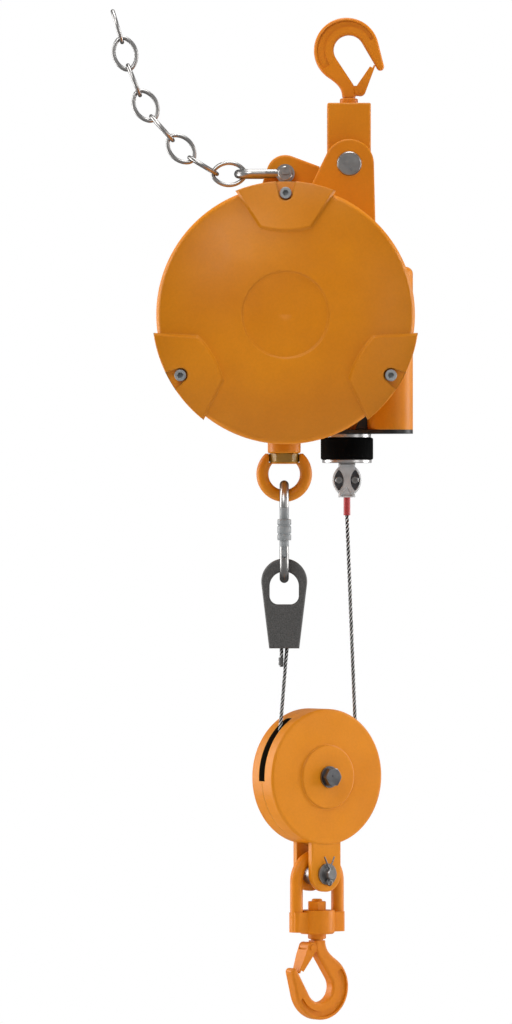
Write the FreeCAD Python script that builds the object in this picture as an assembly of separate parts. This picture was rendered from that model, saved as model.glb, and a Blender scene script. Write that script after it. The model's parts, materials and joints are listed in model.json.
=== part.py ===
"""Tool balancer: a hook-hung spring balancer whose rope carries a swivel hook on a pulley block.

The origin is the saddle of the top hook. +Z is up, +X is to the right of someone who faces
the front cover, and -Y points towards them. All sizes are millimetres.
"""
import FreeCAD, Part
import math
import os

V = FreeCAD.Vector
X_AXIS, Y_AXIS, Z_AXIS = V(1, 0, 0), V(0, 1, 0), V(0, 0, 1)

# ---- clearances -----------------------------------------------------------------------------
RUN = 0.05            # radial clearance of a shaft that turns in its bore
GAP = 0.3             # gap between faces that move past each other

# ---- hook forging, used at the top and, upside down, for the load ----------------------------
BOWL_R = 17.1         # inner radius of the bowl
BACK_R = 36.7         # outer radius of the bowl
BACK_SHIFT = -2.7     # the outer circle sits this far towards the closed side
HOOK_T = 15.0         # thickness of the forging
TIP_R = 4.2           # radius of the point
TIP_X, TIP_Z = 35.4, -35.9
NECK_Z = -70.0        # where the flat forging turns into the round shank
NECK_D = 14.0
COLLAR_D, COLLAR_H = 20.4, 5.5
SHANK_D = 12.0
HOOK_ROUND = 3.2      # rounding of the forged edges
RIB_W = 9.6           # raised rib that lines the bowl
RIM_W = 3.4           # raised rim outside the web
WEB_DEPTH = 2.2       # how far the web lies below rib and rim
LATCH_T = 2.0
LATCH_W = 18.0        # across the two sides of the latch
LATCH_TIP_X, LATCH_TIP_Z, LATCH_TIP_W = 27.0, -33.5, 13.0
LATCH_EYE_WALL, LATCH_BRIDGE_FROM, LATCH_TAPER_AT, RIVET_HEAD = 3.2, 5.0, 0.35, 1.2
LATCH_X, LATCH_Z = 12.8, -62.5
LATCH_PIN_D = 6.0

# ---- suspension -------------------------------------------------------------------------------
BLOCK_W = 48.9
BLOCK_BELOW = 23.0    # block left below the pin's axis
WINDOW_H = 19.0       # window for the hook's nut
WINDOW_TOP = 13.0     # metal above the window
PIN_D = 27.4
PIN_Z = -146.5
EAR_R = 27.8
EAR_T = 11.7
EAR_GAP = 0.6         # each side of the block
NUT_AF, NUT_H = 19.0, 9.8
TOP_NUT_AF, TOP_NUT_H = 24.0, 13.0

# ---- housing ----------------------------------------------------------------------------------
AXIS_X, AXIS_Z = -71.7, -317.9
CASE_R = 139.0
WALL = 8.0
CASE_BACK, COVER_BACK, COVER_FRONT = 62.0, -97.0, -125.0
CASE_ROUND = 12.0
COVER_R = 143.8
COVER_ROUND = 5.0
COVER_WALL = 6.0
PAD_R = 148.3
PAD_RISE = 4.5
PAD_IN = 98.5         # radius where the pad's sides end
PAD_HALF_IN, PAD_HALF_OUT = 27.1, 59.4
PAD_SAG = 3.8
PAD_SLOPE = 3.0
PADS = 3
SCREW_R = 135.1       # radius of the screw circle
NOTCH_R = 8.2
NOTCH_MOUTH = 22.8
NOTCH_DEPTH = 8.0
SCREW_D, SCREW_HEAD_D, SCREW_KEY = 8.0, 13.0, 6.0
DISH_R, DISH_DEPTH = 49.3, 2.2

EAR_FOOT_R, EAR_FOOT_L, EAR_FOOT_Z = 30.0, -57.0, -238.0
ROOT_Z = -200.0      # depth inside the case where ears and lug end

# ---- chain lug --------------------------------------------------------------------------------
LUG_R, LUG_T = 21.3, 14.0
LUG_LEFT, LUG_RIGHT, LUG_TOP = -108.0, -33.0, -148.3

# ---- drive ------------------------------------------------------------------------------------
SHAFT_D = 24.0
BEARING_OD, BEARING_W = 52.0, 15.0
BARREL_R, BARREL_WALL = 112.0, 5.0
WHEEL_TEETH = 60
WHEEL_MODULE = 3.4
WHEEL_W = 14.0
DRUM_PITCH, DRUM_STEP = 6.5, 2.0    # groove to groove along the axis, and in radius
DRUM_TURNS, EXIT_TURN = 6, 2        # grooves, and the one that the rope leaves from at rest
DRUM_FLANGE_T, DRUM_FLANGE_H = 3.0, 4.5
DRUM_HOLES, DRUM_HOLE_R = 6, 11.0

# ---- adjuster tower, rope outlet and plate ------------------------------------------------------
TOWER_X, TOWER_Y, TOWER_D = 45.8, -30.0, 51.5
TOWER_TOP, FOOT_Z = -262.0, -444.8
ROPE_X = -2.2
ROPE_D = 4.5
OUTLET_W = 32.4
OUTLET_DEPTH = 46.0
PLATE_T, PLATE_R = 4.5, 30.0
UPPER_DISC_D, UPPER_DISC_T = 54.4, 4.2
BUFFER_D, BUFFER_H = 59.1, 24.8
LOWER_DISC_D, LOWER_DISC_T = 55.7, 3.6
ROPE_HOLE_D = 12.0

# ---- eye bolt, carabiner and wedge socket --------------------------------------------------------
LINE_X, LINE_Y = -73.0, -48.3
EYE_BOSS_D, EYE_BOSS_Z = 36.9, -471.4
EYE_NUT_AF, EYE_NUT_H = 31.0, 10.3
EYE_HOLE_R, EYE_WIRE = 17.6, 13.6
EYE_Z = -494.7
EYE_SHANK_D, EYE_SHANK_IN, EYE_COLLAR = 16.0, 22.0, 1.6
CARABINER_WIRE = 10.3
CARABINER_L, CARABINER_W = 115.0, 58.0
SLEEVE_D, SLEEVE_L = 15.5, 23.6
SOCKET_T = 17.0
SOCKET_W, SOCKET_FOOT_W = 51.5, 33.8
SOCKET_HOLE_W, SOCKET_HOLE_H = 32.7, 36.6
SOCKET_BAR = 14.8
SOCKET_L = 100.7
CLIP_W, CLIP_H, CLIP_DROP = 15.0, 12.0, 5.5
TAIL_L = 20.5

# ---- rope stop ----------------------------------------------------------------------------------
CLAMP_H, CLAMP_END_W, CLAMP_MID_W, CLAMP_T = 38.7, 18.9, 32.4, 22.0
CLAMP_COLLAR, CLAMP_BEVEL, CHIN_DEPTH = 4.5, 1.8, 1.2
CLAMP_SCREW_X, CLAMP_SCREW_HOLE = 9.1, 3.2
LENS_W, LENS_H, LENS_DEPTH = 10.4, 24.0, 3.0
SLEEVE_RED_D, SLEEVE_RED_H = 7.6, 20.2

# ---- pulley block --------------------------------------------------------------------------------
PULLEY_Z = -834.2
SHELL_R, BLOCK_T = 76.2, 40.4
SHELL_ROUND = 2.8
MOUTH_TO, MOUTH_DROP = 60.0, 4.0    # slot up to this angle, and down below the axle
SHELL_GAP = 10.3      # slot between the shells where the rope runs
HUB_R, HUB_RISE = 35.8, 2.5
SHEAVE_PITCH_R, SHEAVE_R, SHEAVE_W = 56.0, 62.0, 13.0
SHEAVE_RIM, SHEAVE_HUB, SHEAVE_RECESS = 10.0, 5.0, 2.5
SHEAVE_HOLES, SHEAVE_HOLE_AT, SHEAVE_HOLE_R = 6, 29.0, 7.5
AXLE_D = 12.0
BUSH_D = 22.0
WASHER_D, WASHER_T = 24.0, 2.5
BOLT_AF, BOLT_H = 19.0, 7.5
CHEEK_W, CHEEK_T, CHEEK_GAP = 39.8, 7.4, 22.0
CLEVIS_Z = -943.3
CLEVIS_D, CLEVIS_HEAD_D, CLEVIS_HEAD_T = 12.0, 20.0, 3.5

# ---- stirrup and load hook -------------------------------------------------------------------------
STIRRUP_D, STIRRUP_C = 14.3, 56.8
STIRRUP_LEG_Z = -1008.6
BARREL_D, BARREL_TOP, BARREL_FOOT = 39.8, -984.3, -1010.8
EYE_BUSH_D = 26.0

# ---- shackle and chain -------------------------------------------------------------------------------
SHACKLE_WIRE, SHACKLE_BOW_X = 10.0, -124.3
SHACKLE_PIN_D, SHACKLE_EYE_D, SHACKLE_HEAD_D, SHACKLE_HEAD_H = 11.0, 21.0, 16.0, 4.5
SHACKLE_Z = -156.6
SHACKLE_SPREAD, SHACKLE_TAPER_L = 3.0, 22.0    # bow wider than the eyes, and how far behind them
LINK_L, LINK_W, LINK_WIRE = 41.0, 29.7, 4.7
LINK_END_R = 7.8      # centre-line radius of a link's ends
LINK_ANGLES = (0.0, 31.0, 46.0, 48.0, 62.0, 68.0, 76.0, 73.0)


# ================================================================================================
# Small helpers
# ================================================================================================
def cyl(radius, length, base, axis=Z_AXIS):
    """Cylinder that starts at base and runs along axis."""
    return Part.makeCylinder(radius, length, V(*base), axis)


def across(radius, x, z, y0, y1):
    """Cylinder that runs along Y at (x, z)."""
    return cyl(radius, y1 - y0, (x, y0, z), Y_AXIS)


def post(radius, z0, z1, x=0.0, y=0.0):
    """Upright cylinder."""
    return cyl(radius, z1 - z0, (x, y, z0))


def slab(x0, x1, y0, y1, z0, z1):
    """Box between two corners."""
    return Part.makeBox(x1 - x0, y1 - y0, z1 - z0, V(x0, y0, z0))


def hexagon(flats, height, base, axis=Z_AXIS, turn=0.0):
    """Hexagonal prism on base along axis; turn is the angle of its first corner."""
    radius = flats / math.sqrt(3)
    corners = [V(radius * math.cos(math.radians(turn + 60 * i)),
                 radius * math.sin(math.radians(turn + 60 * i)), 0) for i in range(7)]
    prism = Part.Face(Part.makePolygon(corners)).extrude(V(0, 0, height))
    prism.Placement = FreeCAD.Placement(V(*base), FreeCAD.Rotation(Z_AXIS, axis))
    return prism


def hex_nut(flats, height, bore, base, axis=Z_AXIS, turn=0.0):
    """Hexagon nut with both ends turned to a chamfer."""
    nut = hexagon(flats, height, (0, 0, 0), Z_AXIS, turn)
    corner = flats / math.sqrt(3)
    lift = (corner - flats / 2) * 0.6
    profile = [(0, 0), (flats / 2, 0), (corner, lift), (corner, height - lift), (flats / 2, height), (0, height)]
    nut = nut.common(turned(profile)).cut(post(bore / 2, -1, height + 1))
    nut.Placement = FreeCAD.Placement(V(*base), FreeCAD.Rotation(Z_AXIS, axis))
    return nut


def turned(profile, axis=Z_AXIS, base=(0, 0, 0)):
    """Solid of revolution from (radius, height) pairs, standing on base along axis."""
    points = [V(r, 0, h) for r, h in profile]
    solid = Part.Face(Part.makePolygon(points + points[:1])).revolve(V(0, 0, 0), Z_AXIS, 360)
    solid.Placement = FreeCAD.Placement(V(*base), FreeCAD.Rotation(Z_AXIS, axis))
    return solid


def arc(start, middle, end):
    """Arc edge through three points."""
    return Part.Arc(start, middle, end).toShape()


def polar(centre, radius, degrees):
    """Point on a circle in the XZ plane."""
    angle = math.radians(degrees)
    return V(centre[0] + radius * math.cos(angle), 0, centre[1] + radius * math.sin(angle))


def thick(edges, y0, y1):
    """Prism between two Y planes from a closed outline in the XZ plane."""
    face = Part.Face(Part.Wire(Part.__sortEdges__(edges)))
    face.translate(V(0, y0, 0))
    return face.extrude(V(0, y1 - y0, 0))


def tangent_hull(c1, r1, c2, r2):
    """Closed outline in the XZ plane round two circles, with tangent lines between them."""
    run, rise = c2[0] - c1[0], c2[1] - c1[1]
    along = math.degrees(math.atan2(rise, run))
    swing = math.degrees(math.acos((r1 - r2) / math.hypot(run, rise)))
    a1, a2 = polar(c1, r1, along + swing), polar(c2, r2, along + swing)
    b1, b2 = polar(c1, r1, along - swing), polar(c2, r2, along - swing)
    return [Part.makeLine(a1, a2), arc(a2, polar(c2, r2, along), b2),
            Part.makeLine(b2, b1), arc(b1, polar(c1, r1, along + 180), a1)]


def tangent_point(centre, radius, point, side):
    """Where the tangent from point touches the circle; side is +1 or -1."""
    run, rise = point[0] - centre[0], point[1] - centre[1]
    along = math.degrees(math.atan2(rise, run))
    swing = math.degrees(math.acos(radius / math.hypot(run, rise)))
    return polar(centre, radius, along + side * swing)


def outer_tangent(c1, r1, c2, r2):
    """Ends of the tangent on the right of two circles, first on c1."""
    run, rise = c2[0] - c1[0], c2[1] - c1[1]
    along = math.degrees(math.atan2(rise, run))
    swing = math.degrees(math.acos((r1 - r2) / math.hypot(run, rise)))
    return polar(c1, r1, along + swing), polar(c2, r2, along + swing)


def crossing_tangent(c1, r1, c2, r2):
    """Ends of the tangent that crosses between two circles, first on c1's right."""
    run, rise = c2[0] - c1[0], c2[1] - c1[1]
    along = math.degrees(math.atan2(rise, run))
    swing = math.degrees(math.acos((r1 + r2) / math.hypot(run, rise)))
    return polar(c1, r1, along + swing), polar(c2, r2, along + swing + 180)


def smooth(start, start_way, end, end_way):
    """Curve that leaves start and reaches end in the given directions."""
    reach = (end - start).Length * 0.4
    curve = Part.BezierCurve()
    curve.setPoles([start, start + start_way * reach, end - end_way * reach, end])
    return curve.toShape()


def rounded(solid, radius, chosen):
    """Round the edges that chosen() accepts."""
    edges = [e for e in solid.Edges if chosen(e)]
    return solid.makeFillet(radius, edges) if edges else solid


def bevelled(solid, size, chosen):
    """Chamfer the edges that chosen() accepts."""
    edges = [e for e in solid.Edges if chosen(e)]
    return solid.makeChamfer(size, edges) if edges else solid


def in_plane(axis, value):
    """Test for edges that lie wholly in one plane across axis ('x', 'y' or 'z')."""
    low, high = axis.upper() + "Min", axis.upper() + "Max"

    def test(edge):
        box = edge.BoundBox
        return abs(getattr(box, low) - value) < 1e-4 and abs(getattr(box, high) - value) < 1e-4
    return test


def wire_tube(edges, diameter):
    """Round bar swept along connected edges."""
    path = Part.Wire(Part.__sortEdges__(edges))
    first = path.OrderedEdges[0]
    start = path.OrderedVertexes[0].Point
    parameter = first.FirstParameter
    if (first.valueAt(parameter) - start).Length > 1e-6:
        parameter = first.LastParameter
    ring = Part.Wire(Part.makeCircle(diameter / 2, start, first.tangentAt(parameter)))
    return path.makePipeShell([ring], True, False)


def one(shape):
    """The single solid inside a shape."""
    if len(shape.Solids) != 1:
        raise ValueError("expected one solid, found %d" % len(shape.Solids))
    return shape.Solids[0]


# ================================================================================================
# Hooks
# ================================================================================================
BOWL = (0.0, -BOWL_R - 0.4)
BACK = (BACK_SHIFT, BOWL[1])
COLLAR_TOP = NECK_Z - 1.7
COLLAR_FOOT = COLLAR_TOP - COLLAR_H
THROAT_LEAN = 33.4    # the throat's straight side leans this far from upright
THROAT_L = 33.0
BACK_LEAVES = 236     # angle at which the back circle runs into the neck
LATCH_BOSS = LATCH_W - 2 * LATCH_T - 2 * GAP


def hook_outline():
    """Outline of the forging with its saddle at the origin and the point on the +X side."""
    half = NECK_D / 2 + 0.6
    down, up = V(0, 0, -1), V(0, 0, 1)
    tip = (TIP_X, TIP_Z)
    lean = math.radians(THROAT_LEAN)
    throat_way = V(math.sin(lean), 0, -math.cos(lean))
    leave = polar(BOWL, BOWL_R, 180 + THROAT_LEAN)
    throat = leave + throat_way * THROAT_L
    neck_in, neck_out = V(half, 0, NECK_Z), V(-half, 0, NECK_Z)
    bowl_end, point_in = crossing_tangent(BOWL, BOWL_R, tip, TIP_R)
    back_end, point_out = outer_tangent(BACK, BACK_R, tip, TIP_R)
    back_low = polar(BACK, BACK_R, BACK_LEAVES)
    turn = math.radians(BACK_LEAVES)
    back_way = V(-math.sin(turn), 0, math.cos(turn))
    tip_centre = V(TIP_X, 0, TIP_Z)
    chord = point_out - point_in
    tip_low = tip_centre + V(chord.z, 0, -chord.x).normalize() * TIP_R
    return [
        smooth(neck_in, up, throat, throat_way * -1),
        Part.makeLine(throat, leave),
        arc(leave, polar(BOWL, BOWL_R, 110), bowl_end),
        Part.makeLine(bowl_end, point_in),
        arc(point_in, tip_low, point_out),
        Part.makeLine(point_out, back_end),
        arc(back_end, polar(BACK, BACK_R, 120), back_low),
        smooth(back_low, back_way, neck_out, down),
        Part.makeLine(neck_out, neck_in),
    ]


def hook_web(side):
    """Crescent cut that leaves a rib along the bowl and a rim along the back."""
    rib, rim = BOWL_R + RIB_W, BACK_R - RIM_W
    start, end = 24, 218
    inner = [polar(BOWL, rib, a) for a in (start, 120, end)]
    outer = [polar(BACK, rim, a) for a in (start, 120, end)]
    face = HOOK_T / 2 - WEB_DEPTH
    edges = [arc(*inner), arc(*outer), Part.makeLine(inner[0], outer[0]),
             Part.makeLine(inner[2], outer[2])]
    cut = thick(edges, face, HOOK_T)
    cut = rounded(cut, 1.4, lambda e: e.Length < HOOK_T and abs(e.BoundBox.YLength - HOOK_T + face) < 0.01)
    return cut if side > 0 else cut.mirror(V(0, 0, 0), Y_AXIS)


def hook_forging(shank_end):
    """Hook with its collar and its shank down to shank_end, saddle at the origin."""
    flat = thick(hook_outline(), -HOOK_T / 2, HOOK_T / 2)
    flat = rounded(flat, HOOK_ROUND, lambda e: e.BoundBox.YLength < 0.01 and e.BoundBox.ZMax > NECK_Z + 0.1)
    flat = flat.cut(hook_web(1)).cut(hook_web(-1))
    neck = turned([(0, COLLAR_TOP), (NECK_D / 2, COLLAR_TOP), (NECK_D / 2, NECK_Z + 4), (0, NECK_Z + 8)])
    collar = bevelled(post(COLLAR_D / 2, COLLAR_FOOT, COLLAR_TOP), 1.0, in_plane("z", COLLAR_TOP))
    shank = bevelled(post(SHANK_D / 2, shank_end, COLLAR_FOOT), 1.2, in_plane("z", shank_end))
    rivet_hole = across(LATCH_PIN_D / 2 + RUN, LATCH_X, LATCH_Z, -HOOK_T, HOOK_T)
    boss = across(LATCH_PIN_D / 2 + 3.0, LATCH_X, LATCH_Z, -LATCH_BOSS / 2, LATCH_BOSS / 2)
    foot = V(NECK_D / 2 - 2, 0, LATCH_Z)
    web = slab(foot.x - 2, LATCH_X, -LATCH_BOSS / 2, LATCH_BOSS / 2, LATCH_Z - 6, LATCH_Z + 5)
    return one(flat.fuse([neck, collar, shank, boss, web]).cut(rivet_hole).removeSplitter())


def latch_sheet():
    """Pressed latch: two cheeks on the boss, a bridge between them, and the rivet."""
    tip = V(LATCH_TIP_X, 0, LATCH_TIP_Z)
    back = V(LATCH_X, 0, LATCH_Z)
    lean = math.atan2(tip.z - back.z, tip.x - back.x)
    ahead = V(math.cos(lean), 0, math.sin(lean))
    up = V(-math.sin(lean), 0, math.cos(lean))
    length = (tip - back).Length
    eye_r = LATCH_PIN_D / 2 + LATCH_EYE_WALL
    low = [back + up * eye_r, tip + up * 1.5, tip - up * 3.0, back - up * eye_r]
    side = [Part.makeLine(low[0], low[1]), Part.makeLine(low[1], low[2]), Part.makeLine(low[2], low[3]),
            arc(low[3], back - ahead * eye_r, low[0])]
    body = thick(side, -LATCH_W / 2, LATCH_W / 2)
    clear = 2 * eye_r
    hollow = [back + up * clear, tip + up * clear, tip - up * 3.0 + up * LATCH_T,
              back - up * (eye_r - LATCH_T) + ahead * LATCH_BRIDGE_FROM,
              back - up * clear + ahead * LATCH_BRIDGE_FROM, back - up * clear - ahead * clear,
              back - ahead * clear + up * clear]
    ring = Part.Wire(Part.makePolygon(hollow + hollow[:1]))
    inside = LATCH_W / 2 - LATCH_T
    face = Part.Face(ring)
    face.translate(V(0, -inside, 0))
    body = body.cut(face.extrude(V(0, 2 * inside, 0)))
    for sign in (-1, 1):
        wedge_pts = [V(0, sign * LATCH_W, 0), V(length * LATCH_TAPER_AT, sign * LATCH_W / 2, 0),
                     V(length + 1, sign * LATCH_TIP_W / 2, 0), V(length + 1, sign * LATCH_W, 0)]
        wedge_cut = Part.Face(Part.makePolygon(wedge_pts + wedge_pts[:1]))
        wedge_cut.translate(V(0, 0, -length))
        wedge_cut = wedge_cut.extrude(V(0, 0, 2 * length))
        wedge_cut.Placement = FreeCAD.Placement(back, FreeCAD.Rotation(Y_AXIS, -math.degrees(lean)))
        body = body.cut(wedge_cut)
    rivet = across(LATCH_PIN_D / 2, LATCH_X, LATCH_Z, -LATCH_W / 2 - RIVET_HEAD, LATCH_W / 2 + RIVET_HEAD)
    return one(body.fuse(rivet).removeSplitter())


# ================================================================================================
# Suspension
# ================================================================================================
BLOCK_TOP = COLLAR_FOOT - GAP
WINDOW_Z = BLOCK_TOP - WINDOW_TOP - WINDOW_H
EAR_IN = BLOCK_W / 2 + EAR_GAP
EAR_OUT = EAR_IN + EAR_T


def suspension_block():
    """Square block with a bore for the hook, a window for its nut and a cross bore for the pin."""
    half = BLOCK_W / 2
    foot = PIN_Z - BLOCK_BELOW
    block = slab(-half, half, -half, half, foot, BLOCK_TOP)
    block = bevelled(block, 1.5, lambda e: e.BoundBox.ZLength > 1)
    block = bevelled(block, 1.2, in_plane("z", BLOCK_TOP))
    nut_room = TOP_NUT_AF / math.sqrt(3) + 1.2
    window = slab(-BLOCK_W, BLOCK_W, -nut_room, nut_room, WINDOW_Z, WINDOW_Z + WINDOW_H)
    bore = post(SHANK_D / 2 + RUN, WINDOW_Z - 2, BLOCK_TOP + 1)
    cross = across(PIN_D / 2 + RUN, 0, PIN_Z, -BLOCK_W, BLOCK_W)
    return one(block.cut(window).cut(bore).cut(cross))


def top_hook():
    """Hook whose shank passes through the block to its nut."""
    return hook_forging(WINDOW_Z + 1.0)


def top_hook_nut():
    """Nut that carries the balancer on the hook's shank."""
    top = WINDOW_Z + WINDOW_H - GAP
    return one(hex_nut(TOP_NUT_AF, TOP_NUT_H, SHANK_D, (0, 0, top - TOP_NUT_H)))


def suspension_pin():
    """Plain pin through both ears and the block."""
    pin = across(PIN_D / 2, 0, PIN_Z, -EAR_OUT - 1.5, EAR_OUT + 1.5)
    return bevelled(pin, 1.2, lambda e: e.BoundBox.YLength < 0.01 and e.Curve.TypeId == "Part::GeomCircle")


# ================================================================================================
# Balancer body
# ================================================================================================
CENTRE = (AXIS_X, AXIS_Z)
CAVITY_R = CASE_R - WALL
WORM_R = TOWER_X - AXIS_X - WHEEL_MODULE * (WHEEL_TEETH / 2 + 0.8) - GAP
WORM_TURNS, WORM_CAP, WORM_INSET = 4, 16.0, 4.0
WORM_JOURNAL_D, WORM_FOOT_D, WORM_FOOT_H = 14.0, 20.0, 22.0
WORM_KEY_AF, WORM_KEY_DEEP = 10.0, 12.0
WORM_SPAN = math.pi * WHEEL_MODULE * WORM_TURNS / 2 + 3.0


def ear_outline():
    """Outline of a suspension ear: a round head on two straight sides that run into the case."""
    foot_r, foot_l = (EAR_FOOT_R, EAR_FOOT_Z), (EAR_FOOT_L, ROOT_Z)
    head = (0.0, PIN_Z)
    right = tangent_point(head, EAR_R, foot_r, 1)
    left = tangent_point(head, EAR_R, foot_l, -1)
    corner_r, corner_l = V(foot_r[0], 0, foot_r[1]), V(foot_l[0], 0, foot_l[1])
    return [Part.makeLine(corner_r, right), arc(right, polar(head, EAR_R, 90), left),
            Part.makeLine(left, corner_l), Part.makeLine(corner_l, corner_r)]


def lug_plate():
    """Plate on the case that takes the safety chain's shackle."""
    head = (AXIS_X, SHACKLE_Z)
    foot_l, foot_r = (LUG_LEFT, ROOT_Z), (LUG_RIGHT, ROOT_Z)
    top_r = (LUG_RIGHT, LUG_TOP)
    left = tangent_point(head, LUG_R, foot_l, -1)
    right = tangent_point(head, LUG_R, top_r, 1)
    corners = [V(x, 0, z) for x, z in (top_r, foot_r, foot_l)]
    edges = [Part.makeLine(right, corners[0]), Part.makeLine(corners[0], corners[1]),
             Part.makeLine(corners[1], corners[2]), Part.makeLine(corners[2], left),
             arc(left, polar(head, LUG_R, 100), right)]
    plate = thick(edges, -LUG_T / 2, LUG_T / 2)
    plate = rounded(plate, 2.5, lambda e: e.BoundBox.YLength < 0.01 and e.BoundBox.ZMin > foot_l[1] + 0.1)
    return plate


def housing():
    """Main casting: round case, two ears, chain lug, adjuster tower, rope outlet and eye boss."""
    case = across(CASE_R, *CENTRE, COVER_BACK, CASE_BACK)
    case = rounded(case, CASE_ROUND, in_plane("y", CASE_BACK))
    ear = thick(ear_outline(), EAR_IN, EAR_OUT)
    ear = rounded(ear, 2.0, lambda e: e.BoundBox.YLength < 0.01 and e.BoundBox.ZMax > PIN_Z - 20)
    front_ear = ear.mirror(V(0, 0, 0), Y_AXIS)
    tower = post(TOWER_D / 2, FOOT_Z, TOWER_TOP, TOWER_X, TOWER_Y)
    tower = rounded(tower, 8.0, in_plane("z", TOWER_TOP))
    outlet = slab(ROPE_X - OUTLET_W, ROPE_X + OUTLET_W / 2, -OUTLET_DEPTH / 2, OUTLET_DEPTH / 2,
                  FOOT_Z, AXIS_Z - CASE_R * 0.7)
    outlet = rounded(outlet, 5.0, lambda e: e.BoundBox.ZLength > 10)
    eye_boss = post(EYE_BOSS_D / 2, EYE_BOSS_Z, AXIS_Z - CASE_R * 0.8, LINE_X, LINE_Y)
    eye_boss = rounded(eye_boss, 2.0, in_plane("z", EYE_BOSS_Z))
    body = case.fuse([ear, front_ear, lug_plate(), tower, outlet, eye_boss])

    cavity = across(CAVITY_R, *CENTRE, COVER_BACK - 1, CASE_BACK - WALL)
    boss = across(BEARING_OD / 2 + 6, *CENTRE, CASE_BACK - WALL - BEARING_W, CASE_BACK)
    seat = across(BEARING_OD / 2, *CENTRE, CASE_BACK - WALL - BEARING_W - 1, CASE_BACK - WALL)
    worm_room = post(WORM_R + 2.5, AXIS_Z - WORM_SPAN, AXIS_Z + WORM_SPAN, TOWER_X, TOWER_Y)
    journal = post(WORM_JOURNAL_D / 2 + GAP, FOOT_Z, TOWER_TOP - WORM_CAP + 2, TOWER_X, TOWER_Y)
    worm_foot = post(WORM_FOOT_D / 2 + GAP, FOOT_Z - 1, FOOT_Z + WORM_FOOT_H + GAP, TOWER_X, TOWER_Y)
    rope_way = post(ROPE_HOLE_D / 2, FOOT_Z - 1, AXIS_Z, ROPE_X, 0)
    pin_hole = across(PIN_D / 2, 0, PIN_Z, -EAR_OUT - 1, EAR_OUT + 1)
    lug_hole = across(SHACKLE_PIN_D / 2 + 0.5, AXIS_X, SHACKLE_Z, -LUG_T, LUG_T)
    eye_hole = post(EYE_SHANK_D / 2, EYE_BOSS_Z - 1, EYE_BOSS_Z + EYE_SHANK_IN + 2, LINE_X, LINE_Y)
    body = body.cut(cavity).fuse(boss)
    plate_seat = post(PLATE_R + 1, EYE_BOSS_Z, FOOT_Z, ROPE_X, 0)
    body = body.cut([seat, worm_room, journal, worm_foot, rope_way, pin_hole, lug_hole, eye_hole, plate_seat])
    for angle in screw_angles():
        at = polar(CENTRE, SCREW_R, angle)
        ear_boss = across(SCREW_D / 2 + 4, at.x, at.z, COVER_BACK, COVER_BACK + 24)
        body = body.fuse(ear_boss).cut(across(SCREW_D / 2, at.x, at.z, COVER_BACK - 1, COVER_BACK + 16))
    return one(body.removeSplitter())


def screw_angles():
    """Directions of the pads, the first straight up."""
    return [90 + 360 / PADS * i for i in range(PADS)]


def pad_outline(grow):
    """Outline of the upper pad, grown outwards by grow, in the XZ plane about the case's axis."""
    lean = math.atan2(PAD_HALF_OUT - PAD_HALF_IN, PAD_R - PAD_IN)
    half_in = PAD_HALF_IN + grow / math.cos(lean) - grow * math.tan(lean)
    low = PAD_IN - grow
    reach = PAD_R + grow
    # where a side meets the outer arc
    k = math.tan(lean)
    a, b, c = 1 + k * k, 2 * k * (half_in - k * low), (half_in - k * low) ** 2 - reach ** 2
    top = (-b + math.sqrt(b * b - 4 * a * c)) / (2 * a)
    half_out = half_in + k * (top - low)
    p_in, p_out = V(half_in, 0, low), V(half_out, 0, top)
    q_in, q_out = V(-half_in, 0, low), V(-half_out, 0, top)
    return [Part.makeLine(p_in, p_out), arc(p_out, V(0, 0, reach), q_out), Part.makeLine(q_out, q_in),
            arc(q_in, V(0, 0, low - PAD_SAG), p_in)]


def pad():
    """Raised pad with sloping sides and an open notch for its screw, about the case's axis."""
    face = COVER_FRONT - PAD_RISE
    top = Part.Wire(Part.__sortEdges__(pad_outline(0)))
    foot = Part.Wire(Part.__sortEdges__(pad_outline(PAD_SLOPE)))
    top.translate(V(0, face, 0))
    foot.translate(V(0, COVER_FRONT + 0.5, 0))
    raised = Part.makeLoft([foot, top], True, True).common(across(PAD_R, 0, 0, face - 1, COVER_FRONT + 1))
    raised = rounded(raised, 1.2, in_plane("y", face))
    skirt = thick(pad_outline(0), COVER_FRONT - 1.5, COVER_BACK)
    notch = across(NOTCH_R, 0, SCREW_R, face - 1, face + NOTCH_DEPTH)
    mouth = [V(-NOTCH_R, 0, SCREW_R), V(NOTCH_R, 0, SCREW_R),
             V(NOTCH_MOUTH / 2 + 1, 0, PAD_R + 4), V(-NOTCH_MOUTH / 2 - 1, 0, PAD_R + 4)]
    flare = Part.Face(Part.makePolygon(mouth + mouth[:1]))
    flare.translate(V(0, face - 1, 0))
    flare = flare.extrude(V(0, NOTCH_DEPTH + 1, 0))
    hole = across(SCREW_D / 2 + 0.25, 0, SCREW_R, face, COVER_BACK + 1)
    return raised.fuse(skirt), notch.fuse(flare), hole


def turn_to(shape, angle):
    """Copy of a shape made for the upper pad, turned to another pad and moved to the case."""
    turned_copy = shape.copy()
    turned_copy.rotate(V(0, 0, 0), Y_AXIS, 90 - angle)
    turned_copy.translate(V(AXIS_X, 0, AXIS_Z))
    return turned_copy


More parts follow.
